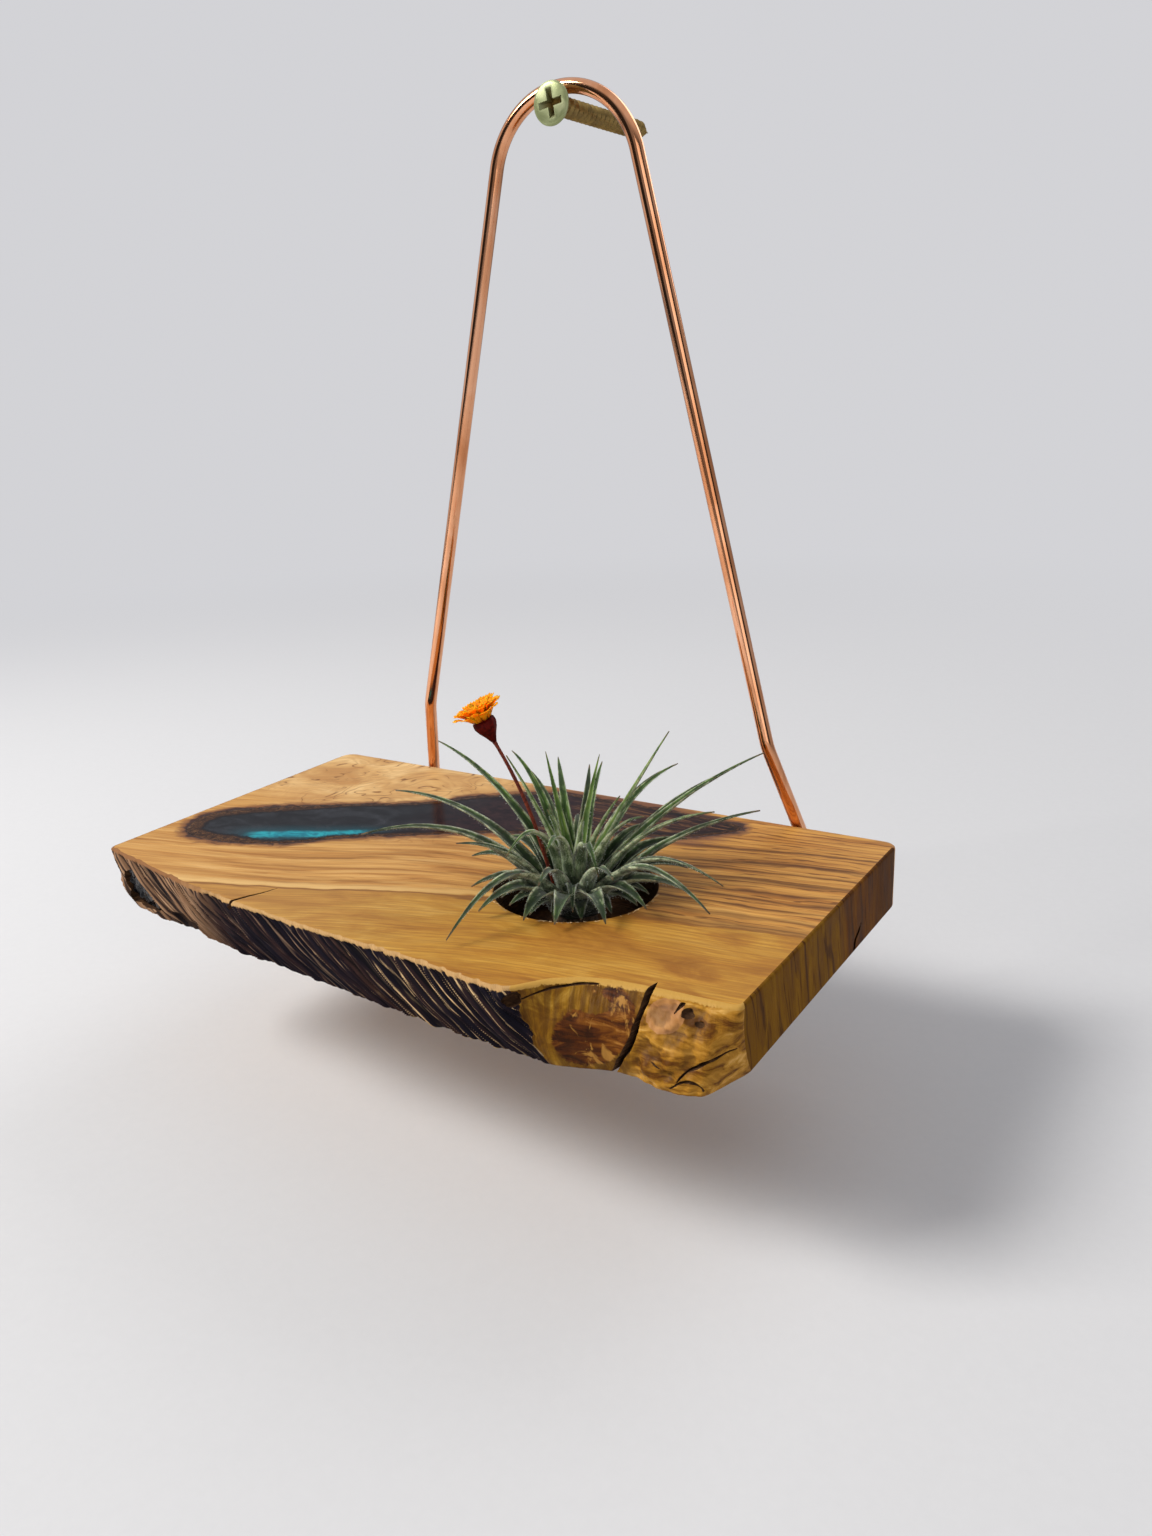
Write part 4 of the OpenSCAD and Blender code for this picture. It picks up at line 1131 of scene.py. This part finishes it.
def build_screw():
    """Countersunk screw with a cross recess and a real thread, lying along Y."""
    lo, hi = (np.array(c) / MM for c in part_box("wall_screw"))
    head_y, tip_y, head_r = lo[1], hi[1], (hi[2] - lo[2]) / 2
    neck_r, root_r, crest_r, pitch = 1.75, 1.45, 2.2, 1.9
    head_len = head_r - neck_r + 0.5
    turn = circle(SCREW_SIDES)
    # the head: [depth behind its face, radius]
    profile = [[0.0, head_r * 0.3], [0.0, head_r * 0.86], [0.12, head_r - 0.35], [0.3, head_r - 0.06],
               [0.5, head_r], [0.72, head_r - 0.12], [head_len, neck_r]]
    thread = np.arange(head_len + 0.25, tip_y - head_y, 0.1)
    rings = []
    for k, d in enumerate([*(p[0] for p in profile), *thread, tip_y - head_y]):
        if k < len(profile):
            r = np.full(len(turn), profile[k][1])
        else:
            phase = (d / pitch - turn / (2 * math.pi)) % 1
            tooth = np.clip(1 - np.abs(phase - 0.5) / 0.28, 0, 1)
            start = smooth(head_len + 0.4, head_len + 2.2, d)
            point = np.clip((tip_y - head_y - d) / 5.0, 0.08, 1)
            r = (neck_r + (root_r - neck_r) * start + (crest_r - root_r) * tooth * start) * point
        rings.append(hoop(r, head_y + d, turn)[:, [0, 2, 1]])
    steel = screw_material()
    obj = mesh_object("wall_screw_threaded", *flipped(closed(rings)), [steel])
    for angle in (RECESS_TURN, RECESS_TURN + 90):
        rings = []
        for y, reach in ((-0.4, head_r * 0.69), (0.0, head_r * 0.66), (RECESS_DEPTH, head_r * 0.24)):
            w = head_r * 0.17 * (0.8 + 0.2 * reach / head_r)
            bar = np.array([[-reach, -w, 0], [reach, -w, 0], [reach, w, 0], [-reach, w, 0]])
            rings.append(turned(bar, angle)[:, [0, 2, 1]] + [0, head_y + y, 0])
        cut(obj, [mesh_object("recess", *flipped(closed(rings)), [steel])])
    smooth_with_edges(obj, 35)
    x, y, z = vertices(obj).T
    deep = y - head_y
    inner = (np.hypot(x, z) < head_r * 0.69) & (deep > 0.05) & (deep < RECESS_DEPTH + 0.2)
    behind = np.where(deep > 1.2, 0.9, 0.0)
    set_attribute(obj, "shade", "FLOAT", np.where(inner, 1.0, behind))
    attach(obj, "wall_fixing")
    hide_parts("wall_screw")


# Leaves: [azimuth, reach, height of the tip, height of the arch], as in the CAD model
OUTER = [[260, 37, 1.6, 19], [236, 26, 15, 13], [211, 45, 13.5, 20], [188, 46, 16, 19], [163, 36, 20, 15],
         [138, 31, 17, 14], [112, 30, 18, 13], [88, 33, 17, 14], [60, 36, 19, 13], [30, 39, 17, 12],
         [8, 33, 5, 16], [-14, 38, 5.5, 18], [-38, 24, 11, 13], [-62, 18.5, 2.6, 10], [-80, 21, 9, 13]]
MIDDLE = [[176, 38, 27, 22], [154, 24, 25, 20], [131, 27, 21, 19], [100, 20, 22, 17], [73, 30, 21, 18],
          [45, 42, 26, 17], [17, 30, 19, 16], [-12, 19, 20, 17], [-44, 17, 9, 22], [-76, 16, 14, 21],
          [-105, 18, 12, 24]]
HEART = [[196, 14, 29, 15], [150, 13, 27, 15], [95, 13, 26, 14], [52, 22, 32, 14], [5, 11, 22, 14],
         [-45, 9, 19, 13], [-100, 8, 20, 13]]
# Broad leaves that fill the well and rest on its rim: as above, a factor on the width, and where they bend
SKIRT = [[244, 16.5, 0.2, 4, 1.7, 0.62], [222, 16.2, -0.6, 4.5, 1.7, 0.6], [199, 16.4, 0.4, 4, 1.75, 0.62],
         [176, 16.2, 0, 4.5, 1.7, 0.6], [152, 16.4, 0.5, 5, 1.7, 0.6], [129, 16, 0, 5, 1.6, 0.6],
         [105, 16.4, 0.5, 5, 1.6, 0.6], [82, 16, 0, 5, 1.6, 0.6], [59, 16.4, 0.4, 5, 1.7, 0.6],
         [36, 16.2, 0, 5, 1.7, 0.6], [13, 16.5, 0.4, 4.5, 1.75, 0.62], [-9, 16.2, -0.4, 4.5, 1.75, 0.62],
         [-31, 16.5, 0.3, 4, 1.75, 0.62], [-53, 16.2, -0.4, 4, 1.7, 0.62], [-75, 16.5, 0.2, 3.4, 1.75, 0.62],
         [-96, 16.2, -0.2, 3.4, 1.7, 0.62], [250, 24.5, 1.7, 9, 1.8, 0.55], [233, 23, 4.5, 9, 1.6, 0.5],
         [190, 25, 4, 9, 1.7, 0.5], [166, 22, 6, 10, 1.6, 0.5], [140, 22, 8, 10, 1.5, 0.5],
         [117, 21, 9, 11, 1.4, 0.5], [70, 22, 9, 11, 1.5, 0.5], [47, 25, 8, 10, 1.6, 0.5],
         [24, 24, 5, 9, 1.7, 0.52], [2, 27, 3, 9, 1.6, 0.52], [-20, 24, 3, 9, 1.6, 0.52],
         [-44, 24, 2.0, 9, 1.9, 0.55], [-66, 22.5, 1.7, 8.5, 2.1, 0.56], [-88, 22, 1.6, 8, 2.1, 0.56]]
# Whorls: [radius of the ring, its low face, its high face, radius where its leaves start, width factor]
OUTER_RING = [6.2, -5.2, -3, 5.4, 1.1]
MIDDLE_RING = [4.4, -3, -0.6, 3.6, 0.9]
HEART_RING = [2.3, -0.6, 1.8, 1.2, 0.7]
# Each whorl: its leaves, its ring and the seed of its first leaf
WHORLS = {"outer": (OUTER + SKIRT, OUTER_RING, 0), "middle": (MIDDLE, MIDDLE_RING, 60),
          "heart": (HEART, HEART_RING, 80)}
# The leaves' green and deep green, and the silver of their scales
GREENS = {"outer": ((0.05, 0.1, 0.018), (0.008, 0.021, 0.004)),
          "middle": ((0.1, 0.19, 0.028), (0.016, 0.042, 0.006)),
          "heart": ((0.22, 0.33, 0.06), (0.06, 0.12, 0.022))}
SILVER = (0.55, 0.61, 0.4)
# Scales on each leaf
HAIRS = 170
LEAF_W = 5.0
# Steps along a leaf and across it
LEAF_STEPS = 30
LEAF_SPAN = 8


def leaf_frames(leaf, ring, seed):
    """Shares of a leaf's length, with its middle line, its side and its inner normal at each."""
    azimuth, reach, height, arch = leaf[:4]
    knee = max(ring[0] + 2, reach * (leaf[5] if len(leaf) > 5 else 0.42))
    q = np.array([[ring[3], (ring[1] + ring[2]) / 2], [knee, arch], [reach, height]])
    s = np.linspace(0, 1, LEAF_STEPS + 1)[:, None]
    c = (1 - s) ** 2 * q[0] + 2 * s * (1 - s) * q[1] + s * s * q[2]
    d = (1 - s) * (q[1] - q[0]) + s * (q[2] - q[1])
    d /= np.linalg.norm(d, axis=1)[:, None]
    a = np.radians(azimuth) + np.radians(5 * noise(seed * 1.7, 3.3)) * s[:, 0] ** 2
    out = np.stack([np.cos(a), np.sin(a), 0 * a], 1)
    side = np.stack([-np.sin(a), np.cos(a), 0 * a], 1)
    up = np.array([0, 0, 1.0])
    middle = out * c[:, :1] + up * c[:, 1:]
    inner = -out * d[:, 1:] + up * d[:, :1]
    return s[:, 0], middle, side, inner


def leaf_width(leaf, ring, s):
    """Half of a leaf's width at the share s of its length: broad at the foot, then long and thin."""
    factor = leaf[4] if len(leaf) > 4 else 1.0
    return LEAF_W * ring[4] / 2 * (0.04 + 0.64 * factor * (1 - s) ** 0.85 + 0.3 * (1 - s) ** 3)


def leaf_solid(leaf, ring, seed):
    """Points, faces and attributes of one channelled leaf."""
    s, middle, side, inner = leaf_frames(leaf, ring, seed)
    width = leaf_width(leaf, ring, s)
    hollow = width * (0.62 - 0.3 * s)
    thick = 0.22 + 0.75 * (1 - s)
    twist = np.radians(26) * noise(seed * 2.3, 7.7) * s ** 1.5
    v = np.linspace(-1, 1, LEAF_SPAN + 1)
    ring_points, marks, strip = [], [], []
    for k, under in [(k, 0) for k in v] + [(k, 1) for k in v[::-1][1:-1]]:
        lift = hollow * abs(k) ** 1.8 - under * thick * (1 - 0.7 * k * k)
        across = width * k
        a = across * np.cos(twist) - lift * np.sin(twist)
        b = across * np.sin(twist) + lift * np.cos(twist) + 0.35 * thick
        wave = 0.12 * noise(s * 9, seed * 3.1, k * 0.5) * width
        ring_points.append(middle + side * a[:, None] + inner * (b + wave)[:, None])
        marks.append(np.stack([s, np.full_like(s, abs(k)), np.full_like(s, under)], 1))
        strip.append(np.stack([np.full_like(s, k), s * leaf[1] * 0.5, np.full_like(s, seed)], 1))
    return (*closed(np.stack(ring_points, 1)), np.stack(marks, 1).reshape(-1, 3),
            np.stack(strip, 1).reshape(-1, 3))


def leaf_hairs(heap, leaf, ring, seed):
    """Silvery scales that stand off the leaf's margins and underside, each a thin closed spike."""
    s, middle, side, inner = leaf_frames(leaf, ring, seed)
    width = leaf_width(leaf, ring, s)
    for i in range(HAIRS):
        a = (i + 0.5) / HAIRS * 0.86 + 0.04
        k = a * LEAF_STEPS
        j = int(k)
        f = k - j
        m, n, q, w = (arr[j] * (1 - f) + arr[j + 1] * f for arr in (middle, side, inner, width))
        edge = 1 if i % 2 else -1
        spot = lattice(i, seed, 3, 5)
        if i % 3 == 0:
            foot = m + n * w * spot * 0.8 - q * (0.1 + 0.5 * (1 - a))
            way = -q + 0.5 * n * spot
        else:
            foot = m + n * w * edge * 0.97 + q * w * (0.6 - 0.3 * a)
            way = n * edge * 0.8 + q * 0.6 * spot
        along = middle[min(j + 1, LEAF_STEPS)] - middle[j]
        along = along / np.linalg.norm(along)
        way = way / np.linalg.norm(way) + along * 0.7
        tip = foot + way * (0.22 + 0.1 * lattice(i, seed, 8, 6))
        u = along * 0.05
        t = np.cross(way, along)
        t = t / max(np.linalg.norm(t), 1e-6) * 0.05
        heap.add([foot - u - t, foot + u - t, foot + t, tip], [[0, 2, 1], [0, 1, 3], [1, 2, 3], [2, 0, 3]])


def build_whorl(part):
    """One whorl of leaves with its crown, as one piece that stands for its CAD solid."""
    leaves, ring, first = WHORLS[part]
    heap = Heap()
    for i, leaf in enumerate(leaves):
        heap.add(*leaf_solid(leaf, ring, first + i))
    turn = circle(40)
    bulge = 1 + 0.06 * np.cos(len(leaves) * turn)
    crown = closed([hoop(r * bulge, z, turn)
                    for r, z in ((ring[0] * 0.8, ring[1]), (ring[0] * 0.94, ring[1] + 0.6),
                                 (ring[0] * 0.9, ring[2] - 0.5), (ring[0] * 0.7, ring[2]))])
    heap.add(*crown, np.tile([0.05, 0.2, 1.0], (len(crown[0]), 1)), crown[0] * 0.2)
    material = leaf_material(part + "_leaf", *GREENS[part], SILVER)
    obj = mesh_object("leaves_" + part, np.array(heap.points) + WELL_AT, heap.faces, [material])
    heap.mark(obj)
    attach(obj, "plant")
    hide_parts(part + "_leaves")


def build_hairs(material):
    """The scales of all the leaves, as one piece."""
    heap = Heap()
    for leaves, ring, first in WHORLS.values():
        for i, leaf in enumerate(leaves):
            leaf_hairs(heap, leaf, ring, first + i)
    obj = mesh_object("leaf_scales", np.array(heap.points) + WELL_AT, heap.faces, [material], shade=False)
    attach(obj, "plant")


# Flower: its upright plane, and its stem's middle line in that plane from the well's centre
STEM_AZ = 216
STEM_AT = 4.3
STEM_LEAN = 14
STEM_STRAIGHT = 13
STEM_TOP = np.array([15.5, 33.4])
STEM_D = 0.9
CUP_LEAN = 24
CUP_H = 5.2
PETALS_W = 10.5
STALK_SIDES = 14
CUP_SIDES = 64
BRACTS = 8
# Rings of petals: [count, length, degrees that they rise, radius where they start]
PETAL_RINGS = [[13, 4.7, 50, 2.0], [11, 4.5, 62, 1.5], [8, 3.9, 74, 0.8]]
PETAL_STEPS = 12
CHIPS = 70


def in_stem_plane(p):
    """From [out, side, up] in the flower's plane to the row's frame."""
    return turned(np.asarray(p, float), STEM_AZ) + WELL_AT


def at_cup(p):
    """From the cup's own frame, with its axis up, to the row's frame."""
    c, s = math.cos(math.radians(CUP_LEAN)), math.sin(math.radians(CUP_LEAN))
    p = np.asarray(p, float)
    out = p[..., 0] * c + p[..., 2] * s + STEM_TOP[0]
    up = -p[..., 0] * s + p[..., 2] * c + STEM_TOP[1]
    return in_stem_plane(np.stack([out, p[..., 1], up], -1))


def build_stalk():
    """The flower's stalk: straight out of the leaves, then bent over."""
    lean = np.array([math.sin(math.radians(STEM_LEAN)), math.cos(math.radians(STEM_LEAN))])
    low = np.array([STEM_AT, MIDDLE_RING[2] + 0.3])
    mid = low + STEM_STRAIGHT * lean
    pull = mid + 0.45 * np.linalg.norm(STEM_TOP - mid) * lean
    line = [low + (mid - low) * s for s in np.linspace(0, 1, 8)[:-1]]
    line += [(1 - s) ** 2 * mid + 2 * s * (1 - s) * pull + s * s * STEM_TOP for s in np.linspace(0, 1, 26)]
    line = np.array(line)
    way = np.gradient(line, axis=0)
    way /= np.linalg.norm(way, axis=1)[:, None]
    turn = circle(STALK_SIDES)
    rings = []
    for i, ((x, z), (dx, dz)) in enumerate(zip(line, way)):
        s = i / (len(line) - 1)
        r = STEM_D / 2 * (1.0 - 0.22 * s + 0.3 * smooth(0.95, 1, s)) * (1 + 0.05 * noise(s * 30, 2))
        rings.append(np.stack([x + r * np.cos(turn) * dz, r * np.sin(turn), z - r * np.cos(turn) * dx], 1))
    red = plain_material("flower_stalk", (0.07, 0.01, 0.007), (0.2, 0.035, 0.015), 1.4, 0.55, 0.05,
                         Specular_IOR_Level=0.2)
    obj = mesh_object("flower_stalk", *closed(in_stem_plane(rings)), [red])
    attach(obj, "flower")
    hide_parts("flower_stem")


def build_cup():
    """The flower's cup of overlapping pointed bracts."""
    radius = PETALS_W * 0.23
    sides = [[0, 0.5], [0.3, radius * 0.5], [0.6, radius * 0.84], [0.85, radius], [1, radius * 0.97]]
    turn = circle(CUP_SIDES)
    rings = []
    for s in np.linspace(0, 1, 22):
        scale = (1 + 0.05 * np.cos(BRACTS * turn) * smooth(0.1, 0.9, s)
                 + 0.035 * np.cos(BRACTS * turn + math.pi) * smooth(0.5, 1, s))
        rings.append(hoop(curve(sides, np.array([s]))[0] * scale, s * CUP_H * 0.97, turn))
    rings.append(hoop(radius * 0.7, CUP_H, turn))
    red = plain_material("flower_cup", (0.035, 0.001, 0.001), (0.11, 0.004, 0.002), 1.1, 0.6, 0.12,
                         Specular_IOR_Level=0.08)
    obj = mesh_object("flower_cup_bracts", *closed(at_cup(rings)), [red])
    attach(obj, "flower")
    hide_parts("flower_cup")


def petal_solid(length, rise, start, angle, seed):
    """Rings of points along one strap shaped petal with a toothed end, on the cup's axis."""
    tilt = math.radians(rise + 9 * noise(seed * 2.9, 5))
    long = length * (0.93 + 0.1 * noise(seed * 1.3, 9))
    rows = []
    for s in np.linspace(0, 1, PETAL_STEPS):
        bend = tilt + 0.35 * s * (0.4 - s)
        wide = (0.45 + 0.75 * smooth(0, 0.6, s)) * (1 - 0.25 * smooth(0.85, 1, s))
        row = []
        for k in np.linspace(-1, 1, 7):
            tooth = 0.28 * abs(math.sin(1.5 * math.pi * k)) * smooth(0.8, 1, s)
            r = start + (long * s - tooth) * math.cos(bend)
            z = 0.25 + (long * s - tooth) * math.sin(bend) + 0.14 * k * k + 0.08 * noise(s * 3, k * 2, seed)
            row.append([r, wide * k, z])
        rows.append(row)
    rows = np.array(rows)
    under = rows[:, ::-1] - [0, 0, 0.16]
    return turned(np.concatenate([rows, under[:, 1:-1]], 1), angle) + [0, 0, CUP_H]


def build_petals():
    """Three rings of petals."""
    heap = Heap()
    for ring, (count, length, rise, start) in enumerate(PETAL_RINGS):
        for i in range(count):
            seed = 7 * ring + i
            angle = 360 * i / count + 13 * ring + 5 * noise(seed * 3.7, 1)
            loop = petal_solid(length, rise, start, angle, seed)
            p, f = closed(loop)
            share = np.repeat(np.linspace(0, 1, PETAL_STEPS), loop.shape[1])
            heap.add(p, f, np.stack([share, 0 * share, 0 * share], 1),
                     np.stack([p[:, 0] * 0.5, share * 4, np.full(len(p), seed)], 1))
    obj = mesh_object("petals", at_cup(heap.points), heap.faces, [petal_material()])
    heap.mark(obj)
    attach(obj, "flower")
    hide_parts("flower_petals")


def build_chips(material):
    """Torn fibres left by the drill round the front of the well."""
    heap = Heap()
    for i in range(CHIPS):
        a = math.radians(-90 + 105 * lattice(i, 1, 0, 11))
        r = WELL_R + 0.25 + 0.5 * abs(lattice(i, 2, 0, 12))
        foot = WELL + [r * math.cos(a), r * math.sin(a), 0.02]
        aim = a + 1.4 * lattice(i, 3, 0, 13)
        way = np.array([math.cos(aim), math.sin(aim), 0.0])
        side = np.array([-way[1], way[0], 0.0]) * (0.07 + 0.05 * abs(lattice(i, 4, 0, 14)))
        rise = 0.15 + 0.2 * abs(lattice(i, 6, 0, 16))
        tip = foot + way * (0.5 + 0.5 * abs(lattice(i, 5, 0, 15))) + [0, 0, rise]
        heap.add([foot - side, foot + side, foot + [0, 0, 0.12], tip],
                 [[0, 1, 2], [0, 3, 1], [1, 3, 2], [2, 3, 0]])
    obj = mesh_object("well_chips", np.array(heap.points) + SLAB_AT, heap.faces, [material], shade=False)
    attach(obj, "holder")


def build_stage():
    """Pale floor under the holder, soft studio lamps, and a room that the shiny pieces reflect."""
    backdrop = (0.65, 0.65, 0.675)
    g = Graph("stage_floor")
    place = g.millimetres()
    grain = place.noise(0.5, 4, 0.6)
    g.surface(g.mix(grain, (0.62, 0.62, 0.635), (0.65, 0.65, 0.665)), 0.9, Specular_IOR_Level=0.1)
    surface = g.tree.nodes["Principled BSDF"]
    out = g.tree.nodes["Material Output"]
    # far from the holder the camera sees the backdrop's own colour, so that no horizon shows
    far = g.value("ShaderNodeVectorMath", "Value", {"operation": "LENGTH"}, Vector=place)
    far = far.spread(330.0, 900.0)
    seen = g.node("ShaderNodeLightPath").outputs["Is Camera Ray"]
    blend = g.node("ShaderNodeMixShader", Fac=far * seen)
    glow = g.node("ShaderNodeEmission", Color=backdrop, Strength=1.0)
    g.put(blend, 1, surface.outputs[0])
    g.put(blend, 2, glow.outputs[0])
    g.put(out, "Surface", blend.outputs[0])
    size, low = 3000.0, -215.0
    corners = [[-size, -size, low], [size, -size, low], [size, size, low], [-size, size, low]]
    floor = mesh_object("floor", corners, [[0, 1, 2, 3]], [g.material])

    world = bpy.data.worlds.new("studio")
    bpy.context.scene.world = world
    g = Graph("studio", world)
    rays = g.node("ShaderNodeLightPath").outputs
    seen = g.math("MAXIMUM", rays["Is Camera Ray"], rays["Is Transmission Ray"])
    seen = g.math("MAXIMUM", seen, rays["Is Glossy Ray"])
    x, y, z = g.value("ShaderNodeTexCoord", "Generated").axes()
    turn = g.math("ARCTAN2", x, y * -1.0) / (2 * math.pi)
    # the room round the object, from the wall over the window side, the front and the right to the wall
    room = (turn + 0.5).ramp([[0.0, 0.45], [0.16, 0.5], [0.25, 1.0], [0.325, 1.0], [0.345, 0.03],
                              [0.46, 0.03], [0.49, 0.42], [0.58, 0.36], [0.615, 0.05], [0.74, 0.05],
                              [0.78, 0.6], [0.88, 0.55], [1.0, 0.45]])
    up = abs(z).spread(0.45, 0.8)
    shown = g.mix(rays["Is Glossy Ray"], backdrop, g.mix(up, g.mix(1.0, backdrop, room, "MULTIPLY"),
                                                         backdrop))
    plain = g.node("ShaderNodeBackground", Color=(0.94, 0.95, 1.0), Strength=0.34)
    picture = g.node("ShaderNodeBackground", Color=shown, Strength=1.0)
    pick = g.node("ShaderNodeMixShader", Fac=seen)
    g.put(pick, 1, plain.outputs[0])
    g.put(pick, 2, picture.outputs[0])
    g.node("ShaderNodeOutputWorld", Surface=pick.outputs[0])
    aim = Vector((0, -0.05, -0.13))
    for name, place, size, power, colour in (
            ("key", (-0.75, -0.7, 0.75), 0.5, 20.0, (1.0, 0.98, 0.94)),
            ("fill", (0.9, -0.9, 0.2), 0.9, 3.2, (1.0, 0.99, 0.98)),
            ("back", (0.2, 0.9, 0.6), 0.8, 4.0, (1.0, 1.0, 1.0))):
        lamp = bpy.data.lights.new(name, "AREA")
        lamp.size = size
        lamp.energy = power
        lamp.color = colour
        obj = bpy.data.objects.new(name, lamp)
        obj.location = place
        obj.rotation_euler = (aim - Vector(place)).to_track_quat("-Z", "Y").to_euler()
        bpy.context.scene.collection.objects.link(obj)


def build_camera():
    """The photograph's camera: its place in the slab's frame, and the way it looks."""
    azimuth, elevation, roll = (math.radians(a) for a in (32.54, 17.68, -2.24))
    place = (np.array([159.4, -254.8, 102.5]) + SLAB_AT) * MM
    back = Vector((math.sin(azimuth) * math.cos(elevation), -math.cos(azimuth) * math.cos(elevation),
                   math.sin(elevation)))
    right = (-back).cross(Vector((0, 0, 1))).normalized()
    up = right.cross(-back)
    turned = math.cos(roll) * right + math.sin(roll) * up
    top = -math.sin(roll) * right + math.cos(roll) * up
    camera = bpy.data.cameras.new("camera")
    camera.sensor_width = 36.0
    camera.lens = 36.0 * 1202 / 1536
    camera.clip_start = 0.01
    obj = bpy.data.objects.new("camera", camera)
    obj.matrix_world = Matrix.Translation(place) @ Matrix((turned, top, back)).transposed().to_4x4()
    bpy.context.scene.collection.objects.link(obj)
    bpy.context.scene.camera = obj


build_camera()
build_stage()
build_slab()
build_corner_resin()
build_river()
build_rod()
assign("plant_foot", plain_material("woody_stem", (0.05, 0.03, 0.018), (0.2, 0.13, 0.08), 0.9, 0.85, 0.4))
build_screw()
for part in WHORLS:
    build_whorl(part)
build_hairs(plain_material("scales", (0.5, 0.55, 0.48), (0.75, 0.78, 0.72), 1.0, 0.8, 0.01))
build_stalk()
build_cup()
build_petals()
build_chips(plain_material("torn_fibre", (0.5, 0.3, 0.13), (0.75, 0.55, 0.3), 1.5, 0.8, 0.05))

bpy.context.scene.view_settings.view_transform = "Standard"
